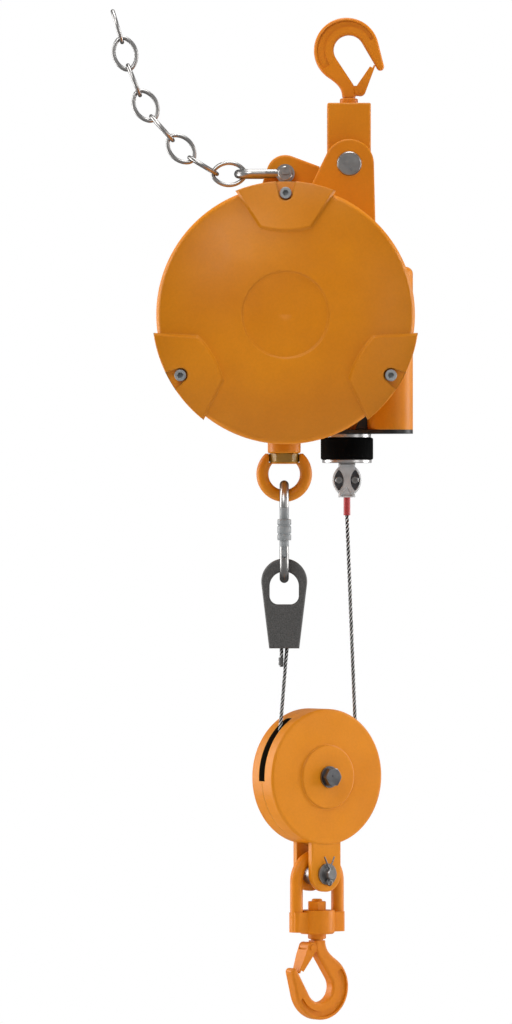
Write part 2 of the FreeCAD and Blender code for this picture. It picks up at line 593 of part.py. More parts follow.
def front_cover():
    """Cast cover: dished face, three raised screw pads and a bearing boss inside."""
    shell = rounded(across(COVER_R, *CENTRE, COVER_FRONT, COVER_BACK), COVER_ROUND, in_plane("y", COVER_FRONT))
    raised, notch, hole = pad()
    inside = across(CAVITY_R, *CENTRE, COVER_FRONT + COVER_WALL, COVER_BACK + 1)
    turns = screw_angles()
    shell = shell.fuse([turn_to(raised, a) for a in turns])
    shell = shell.cut([inside] + [turn_to(notch, a) for a in turns] + [turn_to(hole, a) for a in turns])
    dish = [(0, -1), (DISH_R + 0.6, -1), (DISH_R, 0), (DISH_R - DISH_DEPTH, DISH_DEPTH), (0, DISH_DEPTH * 0.8)]
    dish = turned(dish, Y_AXIS, (AXIS_X, COVER_FRONT, AXIS_Z))
    boss = across(BEARING_OD / 2 + 6, *CENTRE, COVER_FRONT + COVER_WALL - 1, FRONT_BEARING_Y + BEARING_W)
    seat = across(BEARING_OD / 2, *CENTRE, FRONT_BEARING_Y, FRONT_BEARING_Y + BEARING_W + 1)
    return one(shell.cut(dish).fuse(boss).cut(seat).removeSplitter())


FRONT_BEARING_Y = COVER_FRONT + COVER_WALL + 2.0
REAR_BEARING_Y = CASE_BACK - WALL - BEARING_W


def cover_screw(angle):
    """Socket head screw that holds the cover."""
    at = polar(CENTRE, SCREW_R, angle)
    seat = COVER_FRONT - PAD_RISE + NOTCH_DEPTH
    head = across(SCREW_HEAD_D / 2, at.x, at.z, seat - SCREW_D, seat)
    head = bevelled(head, 0.8, in_plane("y", seat - SCREW_D))
    stem = across(SCREW_D / 2, at.x, at.z, seat, COVER_BACK + 14)
    key = hexagon(SCREW_KEY, SCREW_D * 0.55, (at.x, seat - SCREW_D - 0.01, at.z), Y_AXIS)
    return one(head.fuse(stem).cut(key).removeSplitter())


# ================================================================================================
# Drive inside the case
# ================================================================================================
WHEEL_R = WHEEL_MODULE * WHEEL_TEETH / 2
TOOTH_TIP = 0.8 * WHEEL_MODULE
WORM_CORE = WORM_R - 1.8 * WHEEL_MODULE


def ball_bearing(y0):
    """Ball bearing drawn as its two rings with the cage between them."""
    mid = (BEARING_OD + SHAFT_D) / 4
    outer = across(BEARING_OD / 2, *CENTRE, y0, y0 + BEARING_W)
    bore = across(SHAFT_D / 2, *CENTRE, y0 - 1, y0 + BEARING_W + 1)
    groove = across(mid + 3, *CENTRE, y0 - 1, y0 + 2).cut(across(mid - 3, *CENTRE, y0 - 1, y0 + 2))
    back = groove.copy()
    back.translate(V(0, BEARING_W - 1, 0))
    return one(outer.cut([bore, groove, back]))


def arbor_shaft():
    """Shaft that carries the drum and winds the spring's inner end."""
    start, end = FRONT_BEARING_Y, REAR_BEARING_Y + BEARING_W
    shaft = across(SHAFT_D / 2 - RUN, *CENTRE, start, end)
    shoulder = across(SHAFT_D / 2 + 3, *CENTRE, FRONT_BEARING_Y + BEARING_W + GAP, REAR_BEARING_Y - GAP)
    shaft = bevelled(shaft.fuse(shoulder).removeSplitter(), 1.0, in_plane("y", start))
    return one(shaft)


ARBOR_R = SHAFT_D / 2 + 3
BARREL_FRONT = FRONT_BEARING_Y + BEARING_W + 4.0
BARREL_BACK = TOWER_Y + WHEEL_W / 2
EXIT_R = ROPE_X - AXIS_X - ROPE_D / 2 - RUN
DRUM_FRONT = -DRUM_PITCH * (EXIT_TURN + 0.5) - DRUM_FLANGE_T
DRUM_BACK = DRUM_PITCH * (DRUM_TURNS - EXIT_TURN - 0.5) + DRUM_FLANGE_T


def spring_barrel():
    """Cup that holds the power spring, with the worm wheel's teeth round its back."""
    cup = across(BARREL_R - 14, *CENTRE, BARREL_FRONT, BARREL_BACK)
    rim = across(WHEEL_R - WHEEL_MODULE * 1.2, *CENTRE, BARREL_BACK - WHEEL_W, BARREL_BACK)
    room = across(BARREL_R - 14 - BARREL_WALL, *CENTRE, BARREL_FRONT - 1, BARREL_BACK - BARREL_WALL)
    bore = across(ARBOR_R + GAP, *CENTRE, BARREL_FRONT - 1, BARREL_BACK + 1)
    tooth_w = math.pi * WHEEL_MODULE / 2
    tooth = slab(-tooth_w * 0.5, tooth_w * 0.5, BARREL_BACK - WHEEL_W, BARREL_BACK,
                 WHEEL_R - WHEEL_MODULE * 2, WHEEL_R + TOOTH_TIP)
    tooth = bevelled(tooth, 1.2, lambda e: e.BoundBox.YLength > 5 and e.BoundBox.ZMin > WHEEL_R)
    teeth = []
    for i in range(WHEEL_TEETH):
        copy = tooth.copy()
        copy.rotate(V(0, 0, 0), Y_AXIS, 360 / WHEEL_TEETH * i)
        copy.translate(V(AXIS_X, 0, AXIS_Z))
        teeth.append(copy)
    return one(cup.fuse([rim] + teeth).cut([room, bore]).removeSplitter())


def power_spring():
    """Flat coil spring in the barrel, as a closed ring of its wound outline."""
    outer = BARREL_R - 14 - BARREL_WALL - GAP
    y0, y1 = BARREL_FRONT + 3, BARREL_BACK - BARREL_WALL - 1
    ring = across(outer, *CENTRE, y0, y1).cut(across(ARBOR_R + 12, *CENTRE, y0 - 1, y1 + 1))
    return one(ring)


def rope_drum():
    """Conical grooved drum on the arbor, with a lightening hole between each pair of spokes."""
    radii = [EXIT_R + DRUM_STEP * (i - EXIT_TURN) for i in range(DRUM_TURNS)]
    ridge, half = 1.8, DRUM_PITCH / 2
    front_r, back_r = radii[0] + DRUM_FLANGE_H, radii[-1] + DRUM_FLANGE_H
    profile = [(ARBOR_R, DRUM_FRONT), (front_r, DRUM_FRONT), (front_r, DRUM_FRONT + DRUM_FLANGE_T)]
    for i, radius in enumerate(radii):
        middle = DRUM_PITCH * (i - EXIT_TURN)
        profile += [(radius + ridge, middle - half + 0.2), (radius, middle - half + 0.6),
                    (radius, middle + half - 0.6), (radius + ridge, middle + half - 0.2)]
    profile += [(back_r, DRUM_BACK - DRUM_FLANGE_T), (back_r, DRUM_BACK), (ARBOR_R, DRUM_BACK)]
    drum = turned(profile, Y_AXIS, (AXIS_X, 0, AXIS_Z))
    holes = []
    for i in range(DRUM_HOLES):
        at = polar(CENTRE, (ARBOR_R + radii[0]) / 2, 360 / DRUM_HOLES * i)
        holes.append(across(DRUM_HOLE_R, at.x, at.z, DRUM_FRONT - 1, DRUM_BACK + 1))
    return one(drum.cut(holes))


def worm_spindle():
    """Adjusting spindle in the tower: worm, two journals and a socket for the key."""
    pitch = math.pi * WHEEL_MODULE
    half = pitch * WORM_TURNS / 2
    journal, foot = WORM_JOURNAL_D / 2, WORM_FOOT_D / 2
    profile = [(0, TOWER_TOP - WORM_CAP), (journal, TOWER_TOP - WORM_CAP), (journal, AXIS_Z + half)]
    for i in range(WORM_TURNS):
        start = AXIS_Z + half - pitch * i
        profile += [(WORM_CORE, start), (WORM_CORE, start - pitch * 0.3), (WORM_R, start - pitch * 0.42),
                    (WORM_R, start - pitch * 0.58), (WORM_CORE, start - pitch * 0.7)]
    profile += [(WORM_CORE, AXIS_Z - half), (journal, AXIS_Z - half), (journal, FOOT_Z + WORM_FOOT_H),
                (foot, FOOT_Z + WORM_FOOT_H), (foot, FOOT_Z + WORM_INSET), (0, FOOT_Z + WORM_INSET)]
    spindle = turned(profile, Z_AXIS, (TOWER_X, TOWER_Y, 0))
    key = hexagon(WORM_KEY_AF, WORM_KEY_DEEP, (TOWER_X, TOWER_Y, FOOT_Z + WORM_INSET - 0.1))
    return one(spindle.cut(key))




# ================================================================================================
# Plate, buffer and eye
# ================================================================================================
PLATE_Z = FOOT_Z - PLATE_T
UPPER_DISC_Z = PLATE_Z - UPPER_DISC_T
BUFFER_Z = UPPER_DISC_Z - BUFFER_H
LOWER_DISC_Z = BUFFER_Z - LOWER_DISC_T


def bottom_plate():
    """Flat plate under the rope outlet and the tower, open for the rope and the adjusting key."""
    outline = tangent_hull((ROPE_X, 0), PLATE_R, (TOWER_X, TOWER_Y), TOWER_D / 2)
    plate = thick(outline, 0, PLATE_T)
    plate.rotate(V(0, 0, 0), X_AXIS, -90)
    plate.translate(V(0, 0, FOOT_Z))
    plate = plate.cut(post(ROPE_HOLE_D / 2, PLATE_Z - 1, FOOT_Z + 1, ROPE_X, 0))
    return one(plate.cut(post(9.0, PLATE_Z - 1, FOOT_Z + 1, TOWER_X, TOWER_Y)))


def disc(diameter, z0, z1, edge):
    """Round disc on the rope's axis with a hole for the rope."""
    body = post(diameter / 2, z0, z1, ROPE_X, 0)
    body = rounded(body, edge, lambda e: e.BoundBox.ZLength < 0.01)
    return one(body.cut(post(ROPE_HOLE_D / 2, z0 - 1, z1 + 1, ROPE_X, 0)))


def upper_disc():
    """Steel disc above the buffer."""
    return disc(UPPER_DISC_D, UPPER_DISC_Z, PLATE_Z, 0.6)


def rubber_buffer():
    """Rubber buffer that the rope stop runs up against."""
    return disc(BUFFER_D, BUFFER_Z, UPPER_DISC_Z, 2.0)


def lower_disc():
    """Steel disc under the buffer."""
    return disc(LOWER_DISC_D, LOWER_DISC_Z, BUFFER_Z, 0.6)


def eye_bolt():
    """Ring bolt screwed up into the case."""
    ring = Part.makeTorus(EYE_HOLE_R + EYE_WIRE / 2, EYE_WIRE / 2, V(LINE_X, LINE_Y, EYE_Z), Y_AXIS)
    seat = EYE_BOSS_Z - EYE_NUT_H
    reach = EYE_HOLE_R + EYE_WIRE + 1
    above = post(reach, EYE_BOSS_Z - GAP, EYE_Z + reach, LINE_X, LINE_Y)
    nut_room = post(EYE_NUT_AF / math.sqrt(3) + GAP, seat, EYE_BOSS_Z, LINE_X, LINE_Y)
    collar = post(EYE_NUT_AF / 2, seat - EYE_COLLAR, seat, LINE_X, LINE_Y)
    shank = post(EYE_SHANK_D / 2, seat - 1, EYE_BOSS_Z + EYE_SHANK_IN, LINE_X, LINE_Y)
    return one(ring.cut([above, nut_room]).fuse([collar, shank]).removeSplitter())


def eye_nut():
    """Lock nut between the ring and the case."""
    return one(hex_nut(EYE_NUT_AF, EYE_NUT_H, EYE_SHANK_D, (LINE_X, LINE_Y, EYE_BOSS_Z - EYE_NUT_H)))


# ---- carabiner ----------------------------------------------------------------------------------
CARABINER_TOP = EYE_Z - EYE_HOLE_R + GAP + CARABINER_WIRE
CARABINER_FOOT = CARABINER_TOP - CARABINER_L
BAR_HALF = CARABINER_WIRE / 2
SPINE_Y = LINE_Y + CARABINER_W / 2 - BAR_HALF
GATE_Y = LINE_Y - CARABINER_W / 2 + BAR_HALF
BEND_R = CARABINER_W / 2 - BAR_HALF
GATE_TOP = CARABINER_TOP - BAR_HALF - BEND_R - 1.0
GATE_HINGE = CARABINER_FOOT + BAR_HALF + BEND_R + 4.0
TONGUE_T, HINGE_PIN_D, GATE_OPEN = 5.0, 3.4, 22.0


def carabiner():
    """Oval body bent from round bar, open in front where the gate closes it, with the hinge pin."""
    top, foot = CARABINER_TOP - BAR_HALF, CARABINER_FOOT + BAR_HALF
    high, low = top - BEND_R, foot + BEND_R

    def at(y, z):
        return V(LINE_X, y, z)
    body = wire_tube([Part.makeLine(at(GATE_Y, GATE_TOP), at(GATE_Y, high)),
                      arc(at(GATE_Y, high), at(LINE_Y, top), at(SPINE_Y, high)),
                      Part.makeLine(at(SPINE_Y, high), at(SPINE_Y, low)),
                      arc(at(SPINE_Y, low), at(LINE_Y, foot), at(GATE_Y, low)),
                      Part.makeLine(at(GATE_Y, low), at(GATE_Y, GATE_HINGE + BAR_HALF))], CARABINER_WIRE)
    slot = slab(LINE_X - TONGUE_T / 2 - GAP / 3, LINE_X + TONGUE_T / 2 + GAP / 3,
                GATE_Y - CARABINER_WIRE, GATE_Y + CARABINER_WIRE, GATE_HINGE - BAR_HALF - 1, GATE_HINGE + 20)
    pin = cyl(HINGE_PIN_D / 2, CARABINER_WIRE - 0.6, (LINE_X - BAR_HALF + 0.3, GATE_Y, GATE_HINGE), X_AXIS)
    return one(body.cut(slot).fuse(pin).removeSplitter())


def carabiner_gate():
    """Gate bar with a flat tongue on the hinge pin."""
    swing = math.radians(GATE_OPEN)
    foot = GATE_HINGE + BAR_HALF * (1 + math.sin(swing)) / math.cos(swing) + GAP
    bar = post(BAR_HALF, foot, GATE_TOP - GAP, LINE_X, GATE_Y)
    bar = bevelled(bar, 0.5, in_plane("z", GATE_TOP - GAP))
    tongue = cyl(BAR_HALF - 0.4, TONGUE_T, (LINE_X - TONGUE_T / 2, GATE_Y, GATE_HINGE), X_AXIS)
    neck = slab(LINE_X - TONGUE_T / 2, LINE_X + TONGUE_T / 2, GATE_Y - BAR_HALF + 1, GATE_Y + BAR_HALF - 1,
                GATE_HINGE, foot + 2)
    hole = cyl(HINGE_PIN_D / 2 + RUN, CARABINER_WIRE, (LINE_X - BAR_HALF, GATE_Y, GATE_HINGE), X_AXIS)
    return one(bar.fuse([tongue, neck]).cut(hole).removeSplitter())


SLEEVE_TOP = GATE_TOP - 13.5


def gate_sleeve():
    """Locking sleeve on the gate, with two grip grooves."""
    bevel, half, wall = 0.8, 0.6, SLEEVE_D / 2
    floor = wall - 0.9
    profile = [(BAR_HALF + RUN, 0), (wall - bevel, 0), (wall, bevel)]
    for share in (0.3, 0.7):
        z = SLEEVE_L * share
        profile += [(wall, z - 2 * half), (floor, z - half), (floor, z + half), (wall, z + 2 * half)]
    profile += [(wall, SLEEVE_L - bevel), (wall - bevel, SLEEVE_L), (BAR_HALF + RUN, SLEEVE_L)]
    return one(turned(profile, Z_AXIS, (LINE_X, GATE_Y, SLEEVE_TOP - SLEEVE_L)))


# ---- wedge socket -----------------------------------------------------------------------------------
BEND_IN = BEND_R - BAR_HALF
SADDLE_DROP = BEND_IN - math.sqrt(BEND_IN ** 2 - (SOCKET_T / 2) ** 2)
HOLE_TOP = CARABINER_FOOT + CARABINER_WIRE + SADDLE_DROP + GAP
SOCKET_TOP = HOLE_TOP + SOCKET_BAR
SOCKET_FOOT = SOCKET_TOP - SOCKET_L
LOOP_R, LOOP_HALF = 8.5, 3.0
LIVE_X, TAIL_X = LINE_X + LOOP_HALF, LINE_X - LOOP_HALF
LOOP_Z = SOCKET_FOOT + 32.0
ROPE_R = ROPE_D / 2


def wedge_socket():
    """Cast socket: a round eye over a tapered body with a pocket for the rope's loop and wedge."""
    head = (LINE_X, SOCKET_TOP - SOCKET_W / 2)
    foot_l, foot_r = (LINE_X - SOCKET_FOOT_W / 2, SOCKET_FOOT), (LINE_X + SOCKET_FOOT_W / 2, SOCKET_FOOT)
    left = tangent_point(head, SOCKET_W / 2, foot_l, -1)
    right = tangent_point(head, SOCKET_W / 2, foot_r, 1)
    corner_l, corner_r = V(foot_l[0], 0, foot_l[1]), V(foot_r[0], 0, foot_r[1])
    outline = [Part.makeLine(corner_r, right), arc(right, polar(head, SOCKET_W / 2, 90), left),
               Part.makeLine(left, corner_l), Part.makeLine(corner_l, corner_r)]
    body = thick(outline, LINE_Y - SOCKET_T / 2, LINE_Y + SOCKET_T / 2)
    half = SOCKET_HOLE_W / 2
    hole_foot = HOLE_TOP - SOCKET_HOLE_H
    hole = across(half, LINE_X, HOLE_TOP - half, LINE_Y - SOCKET_T, LINE_Y + SOCKET_T)
    lower = slab(LINE_X - half, LINE_X + half, LINE_Y - SOCKET_T, LINE_Y + SOCKET_T, hole_foot, HOLE_TOP - half)
    lower = rounded(lower, 9.6, lambda e: e.BoundBox.YLength > 1 and e.BoundBox.ZMax < hole_foot + 0.1)
    body = body.cut(hole).cut(lower)
    body = rounded(body, 2.4, lambda e: e.BoundBox.YLength < 0.01)
    spread = ROPE_R + RUN
    pocket = thick(tangent_hull((LINE_X, LOOP_Z), LOOP_R + spread, (LINE_X, SOCKET_FOOT - 4), LOOP_HALF + spread),
                   LINE_Y - ROPE_R - GAP, LINE_Y + ROPE_R + GAP)
    return one(body.cut(pocket))


def wedge():
    """Wedge that the rope's loop grips."""
    inset = ROPE_R + RUN
    body = thick(tangent_hull((LINE_X, LOOP_Z), LOOP_R - inset, (LINE_X, SOCKET_FOOT + 3), LOOP_HALF - inset),
                 LINE_Y - ROPE_R, LINE_Y + ROPE_R)
    return one(body)


def rope_tail():
    """Rope's dead end: round the wedge and down to its short tail."""
    centre = (LINE_X, LOOP_Z)
    right = tangent_point(centre, LOOP_R, (LIVE_X, SOCKET_FOOT), 1)
    left = tangent_point(centre, LOOP_R, (TAIL_X, SOCKET_FOOT), -1)
    edges = [Part.makeLine(V(LIVE_X, 0, SOCKET_FOOT), right), arc(right, polar(centre, LOOP_R, 90), left),
             Part.makeLine(left, V(TAIL_X, 0, SOCKET_FOOT))]
    for edge in edges:
        edge.translate(V(0, LINE_Y, 0))
    loop = wire_tube(edges, ROPE_D)
    tail = post(ROPE_R, SOCKET_FOOT - TAIL_L, SOCKET_FOOT + 0.6, TAIL_X, LINE_Y)
    return one(loop.fuse(tail).removeSplitter())


def tail_clip():
    """Small clip that holds the tail beside the live rope."""
    top = SOCKET_FOOT - CLIP_DROP
    body = slab(LINE_X - CLIP_W / 2, LINE_X + CLIP_W / 2, LINE_Y - ROPE_R - 2, LINE_Y + ROPE_R + 2,
                top - CLIP_H, top)
    body = rounded(body, 1.5, lambda e: e.BoundBox.ZLength > 1)
    tail_hole = post(ROPE_R + RUN, top - CLIP_H - 1, top + 1, TAIL_X, LINE_Y)
    return one(body.cut([tail_hole, placed(fall(-1, ROPE_R + RUN)[2])]))


# ================================================================================================
# Rope stop
# ================================================================================================
STOP_TOP = LOWER_DISC_Z - GAP / 3
STOP_FOOT = STOP_TOP - CLAMP_H
STOP_MID = (STOP_TOP + STOP_FOOT) / 2
RED_FOOT = STOP_FOOT - SLEEVE_RED_H


def rope_stop_half(front):
    """Half of the cast rope stop: waisted ends round a wide middle, with recesses for its screws."""
    end, mid = CLAMP_END_W / 2, CLAMP_MID_W / 2
    half_h = CLAMP_H / 2
    quarter = CLAMP_H * 0.3
    shoulder = half_h - CLAMP_COLLAR

    def at(x, z):
        return V(ROPE_X + x, 0, STOP_MID + z)
    edges = [Part.makeLine(at(-end, half_h), at(end, half_h)),
             Part.makeLine(at(end, half_h), at(end, shoulder)),
             arc(at(end, shoulder), at(mid, 0), at(end, -shoulder)),
             Part.makeLine(at(end, -shoulder), at(end, -half_h)),
             Part.makeLine(at(end, -half_h), at(-end, -half_h)),
             Part.makeLine(at(-end, -half_h), at(-end, -shoulder)),
             arc(at(-end, -shoulder), at(-mid, 0), at(-end, shoulder)),
             Part.makeLine(at(-end, shoulder), at(-end, half_h))]
    body = thick(edges, 0.1, CLAMP_T / 2)
    body = bevelled(body, CLAMP_BEVEL, in_plane("y", CLAMP_T / 2))
    body = body.cut(post(ROPE_R, STOP_FOOT - 1, STOP_TOP + 1, ROPE_X, 0))
    for side in (-1, 1):
        x = ROPE_X + side * CLAMP_SCREW_X
        lens = thick(lens_outline(x, STOP_MID, LENS_W, LENS_H), CLAMP_T / 2 - LENS_DEPTH, CLAMP_T)
        body = body.cut([lens, across(CLAMP_SCREW_HOLE / 2, x, STOP_MID, -1, CLAMP_T)])
    tip, left, right = at(0, quarter - half_h), at(3 - end, 1.5 - half_h), at(end - 3, 1.5 - half_h)
    chin = thick([Part.makeLine(left, tip), Part.makeLine(tip, right), Part.makeLine(right, left)],
                 CLAMP_T / 2 - CHIN_DEPTH, CLAMP_T)
    body = body.cut(chin)
    if front:
        body = body.mirror(V(0, 0, 0), Y_AXIS)
    return one(body)


def lens_outline(x, z, width, height):
    """Pointed oval in the XZ plane."""
    top, foot = V(x, 0, z + height / 2), V(x, 0, z - height / 2)
    return [arc(top, V(x + width / 2, 0, z), foot), arc(foot, V(x - width / 2, 0, z), top)]


def rope_sleeve():
    """Plastic sleeve on the rope under the stop."""
    tube = post(SLEEVE_RED_D / 2, RED_FOOT, STOP_FOOT, ROPE_X, 0)
    return one(tube.cut(post(ROPE_R, RED_FOOT - 1, STOP_FOOT + 1, ROPE_X, 0)))


# ================================================================================================
# Pulley block, modelled square to the axes and then turned to the plane of the two rope falls
# ================================================================================================
PULLEY_X, PULLEY_Y = (ROPE_X + LIVE_X) / 2, LINE_Y / 2
YAW = math.degrees(math.atan2(-LINE_Y, ROPE_X - LIVE_X))
FALL_HALF = math.hypot(ROPE_X - LIVE_X, LINE_Y) / 2
HUB = (0.0, PULLEY_Z)
CHEEK_IN = CHEEK_GAP / 2
CHEEK_OUT = CHEEK_IN + CHEEK_T


def placed(shape):
    """Shape from the pulley block's own frame, turned and moved to its place."""
    shape = shape.copy()
    shape.rotate(V(0, 0, 0), Z_AXIS, YAW)
    shape.translate(V(PULLEY_X, PULLEY_Y, 0))
    return shape


def pulley_shell():
    """Rear half of the block: a dished shell with a hub, the rope slot's lip and a hanging cheek."""
    half = BLOCK_T / 2
    lip = SHELL_GAP / 2
    shell = across(SHELL_R, *HUB, 0.1, half)
    shell = rounded(shell, SHELL_ROUND, in_plane("y", half))
    hub = bevelled(across(HUB_R, *HUB, half - 1, half + HUB_RISE), 1.2, in_plane("y", half + HUB_RISE))
    side, root_z = CHEEK_W / 2, PULLEY_Z - SHELL_R * 0.6
    cheek = thick([Part.makeLine(V(-side, 0, root_z), V(side, 0, root_z)),
                   Part.makeLine(V(side, 0, root_z), V(side, 0, CLEVIS_Z)),
                   arc(V(side, 0, CLEVIS_Z), V(0, 0, CLEVIS_Z - side), V(-side, 0, CLEVIS_Z)),
                   Part.makeLine(V(-side, 0, CLEVIS_Z), V(-side, 0, root_z))], CHEEK_IN, CHEEK_OUT)
    cheek = bevelled(cheek, 0.8, in_plane("y", CHEEK_OUT))
    room = across(SHEAVE_R + 1.5, *HUB, -1, SHEAVE_W / 2 + 1.0)
    core = across(BUSH_D / 2 - 2, *HUB, SHEAVE_W / 2 + GAP, half - 1)
    shell = shell.fuse([hub, cheek]).cut(room).fuse(core)
    mouth_top = PULLEY_Z + SHELL_R * math.sin(math.radians(MOUTH_TO))
    mouth = slab(-SHELL_R * 2, SHELL_R * 2, -1, lip, PULLEY_Z - MOUTH_DROP, mouth_top)
    bridge = slab(-SHELL_R * 0.5 + 2, SHELL_R * 0.5 - 2, -2, lip + 1, PULLEY_Z, PULLEY_Z + SHELL_R * 2)
    shell = shell.cut(mouth.cut(bridge))
    axle = across(AXLE_D / 2, *HUB, -1, half + HUB_RISE + 1)
    clevis = across(CLEVIS_D / 2, 0, CLEVIS_Z, 0, CHEEK_OUT + 1)
    return one(shell.cut([axle, clevis]).removeSplitter())


def sheave():
    """Grooved sheave that the rope turns on."""
    half, groove = SHEAVE_W / 2, ROPE_R + 0.1
    corner = groove * math.tan(math.radians(22.5))
    profile = [(BUSH_D / 2, -half), (SHEAVE_R, -half), (SHEAVE_R, -groove * 1.4),
               (SHEAVE_PITCH_R - corner, -groove), (SHEAVE_PITCH_R - groove, -corner),
               (SHEAVE_PITCH_R - groove, corner), (SHEAVE_PITCH_R - corner, groove),
               (SHEAVE_R, groove * 1.4), (SHEAVE_R, half), (BUSH_D / 2, half)]
    wheel = turned(profile, Y_AXIS, (0, 0, PULLEY_Z))
    web = half - SHEAVE_RECESS
    recess = across(SHEAVE_PITCH_R - SHEAVE_RIM, *HUB, web, half + 1)
    recess = recess.cut(across(BUSH_D / 2 + SHEAVE_HUB, *HUB, web - 1, half + 2))
    spots = [polar(HUB, SHEAVE_HOLE_AT, 360 / SHEAVE_HOLES * i) for i in range(SHEAVE_HOLES)]
    holes = [across(SHEAVE_HOLE_R, spot.x, spot.z, -half - 1, half + 1) for spot in spots]
    return one(wheel.cut([recess, recess.mirror(V(0, 0, 0), Y_AXIS)] + holes))


def sheave_bush():
    """Bronze bush in the sheave, turning on the bolt."""
    half = SHEAVE_W / 2
    return one(across(BUSH_D / 2, *HUB, -half, half).cut(across(AXLE_D / 2 + RUN, *HUB, -half - 1, half + 1)))


FACE_Y = BLOCK_T / 2 + HUB_RISE


def pulley_bolt():
    """Hexagon bolt through the block with its washer under the head."""
    seat = -FACE_Y - WASHER_T
    stem = across(AXLE_D / 2, *HUB, seat - 1, FACE_Y + WASHER_T + BOLT_H + 3)
    head = hex_nut(BOLT_AF, BOLT_H, 1.0, (0, seat - BOLT_H, PULLEY_Z), Y_AXIS, 0)
    fill = across(2.0, *HUB, seat - BOLT_H, seat)
    washer = across(WASHER_D / 2, *HUB, seat, -FACE_Y)
    return one(head.fuse([fill, stem, washer]).removeSplitter())


def pulley_nut():
    """Nut and washer at the back of the block."""
    washer = across(WASHER_D / 2, *HUB, FACE_Y, FACE_Y + WASHER_T).cut(across(AXLE_D / 2, *HUB, 0, FACE_Y * 3))
    nut = hex_nut(BOLT_AF, BOLT_H, AXLE_D, (0, FACE_Y + WASHER_T, PULLEY_Z), Y_AXIS, 0)
    return one(nut.fuse(washer).removeSplitter())


def clevis_pin():
    """Headed pin through both cheeks, with a washer in front for the split pin."""
    head = across(CLEVIS_HEAD_D / 2, 0, CLEVIS_Z, CHEEK_OUT, CHEEK_OUT + CLEVIS_HEAD_T)
    stem = across(CLEVIS_D / 2, 0, CLEVIS_Z, -CHEEK_OUT - WASHER_T - 9.0, CHEEK_OUT + 1)
    stem = bevelled(stem, 1.0, in_plane("y", -CHEEK_OUT - WASHER_T - 9.0))
    washer = across(WASHER_D / 2, 0, CLEVIS_Z, -CHEEK_OUT - WASHER_T, -CHEEK_OUT)
    hole = post(SPLIT_D / 2, CLEVIS_Z - CLEVIS_D, CLEVIS_Z + CLEVIS_D, 0, SPLIT_Y)
    return one(head.fuse([stem, washer]).cut(hole).removeSplitter())


SPLIT_D = 3.0
SPLIT_Y = -CHEEK_OUT - WASHER_T - 3.0


def split_pin():
    """Split pin: an eye under the clevis pin and two legs spread above it."""
    r = SPLIT_D / 2
    foot = CLEVIS_Z - CLEVIS_D / 2
    eye_r = 2.8
    eye = Part.makeTorus(eye_r, r * 0.7, V(0, SPLIT_Y, foot - eye_r - 0.6), Y_AXIS)
    stem = post(r, foot - 2.2, CLEVIS_Z + CLEVIS_D / 2 + 1, 0, SPLIT_Y)
    top = CLEVIS_Z + CLEVIS_D / 2
    legs = []
    for side in (-1, 1):
        legs.append(cyl(r * 0.6, 15.0, (side * r * 0.4, SPLIT_Y, top), V(side * 0.45, 0, 1)))
    return one(stem.fuse([eye] + legs).removeSplitter())


# ================================================================================================
# Stirrup and load hook
# ================================================================================================
STIRRUP_R = STIRRUP_C / 2
LOAD_SEAT_Z = BARREL_FOOT - GAP + COLLAR_FOOT


def pin_bush():
    """Grooved roller on the clevis pin that the stirrup's bow sits on."""
    half = CHEEK_GAP / 2 - GAP
    tube = across(EYE_BUSH_D / 2, 0, CLEVIS_Z, -half, half)
    return one(tube.cut(across(CLEVIS_D / 2 + RUN, 0, CLEVIS_Z, -half - 1, half + 1)))


def stirrup():
    """Bent round bar over the pin's roller, with the swivel barrel between its feet."""
    crown = CLEVIS_Z + EYE_BUSH_D / 2 + STIRRUP_D / 2
    spring_z = crown - STIRRUP_R
    leg_foot = STIRRUP_LEG_Z
    x = STIRRUP_R
    bow = wire_tube([Part.makeLine(V(-x, 0, leg_foot), V(-x, 0, spring_z)),
                     arc(V(-x, 0, spring_z), V(0, 0, crown), V(x, 0, spring_z)),
                     Part.makeLine(V(x, 0, spring_z), V(x, 0, leg_foot))], STIRRUP_D)
    barrel = post(BARREL_D / 2, BARREL_FOOT, BARREL_TOP)
    barrel = bevelled(barrel, 1.9, in_plane("z", BARREL_FOOT))
    yoke_z0, yoke_z1 = BARREL_FOOT + 2.2, BARREL_TOP - 2.0
    yoke_x, yoke_y = x + STIRRUP_D / 2 - 1, STIRRUP_D / 2 + 1.5
    yoke = slab(-yoke_x, yoke_x, -yoke_y, yoke_y, yoke_z0, yoke_z1)
    yoke = rounded(yoke, 5.0, lambda e: e.BoundBox.ZLength > 10)
    bore = post(SHANK_D / 2 + RUN, BARREL_FOOT - 1, BARREL_TOP + 1)
    return one(bow.fuse([barrel, yoke]).cut(bore).removeSplitter())


def load_hook():
    """The same forging turned upside down, its shank up through the barrel."""
    shank_end = LOAD_SEAT_Z - (BARREL_TOP + NUT_H + 2.9)
    hook = hook_forging(shank_end)
    hook.rotate(V(0, 0, 0), Y_AXIS, 180)
    hook.translate(V(0, 0, LOAD_SEAT_Z))
    return one(hook)


def load_latch():
    """Latch of the load hook."""
    latch = latch_sheet()
    latch.rotate(V(0, 0, 0), Y_AXIS, 180)
    latch.translate(V(0, 0, LOAD_SEAT_Z))
    return one(latch)


def load_hook_nut():
    """Nut on the load hook's shank."""
    return one(hex_nut(NUT_AF, NUT_H, SHANK_D, (0, 0, BARREL_TOP + GAP / 3)))


# ================================================================================================
# Rope
# ================================================================================================
def fall(side, radius=ROPE_R):
    """Straight fall in the pulley block's own frame; side is +1 for the stop's, -1 for the socket's."""
    top = (side * FALL_HALF, RED_FOOT if side > 0 else SOCKET_FOOT)
    foot = tangent_point(HUB, SHEAVE_PITCH_R, top, -side)
    start = V(top[0], 0, top[1])
    way = foot - start
    return start, foot, Part.makeCylinder(radius, way.Length, start, way)


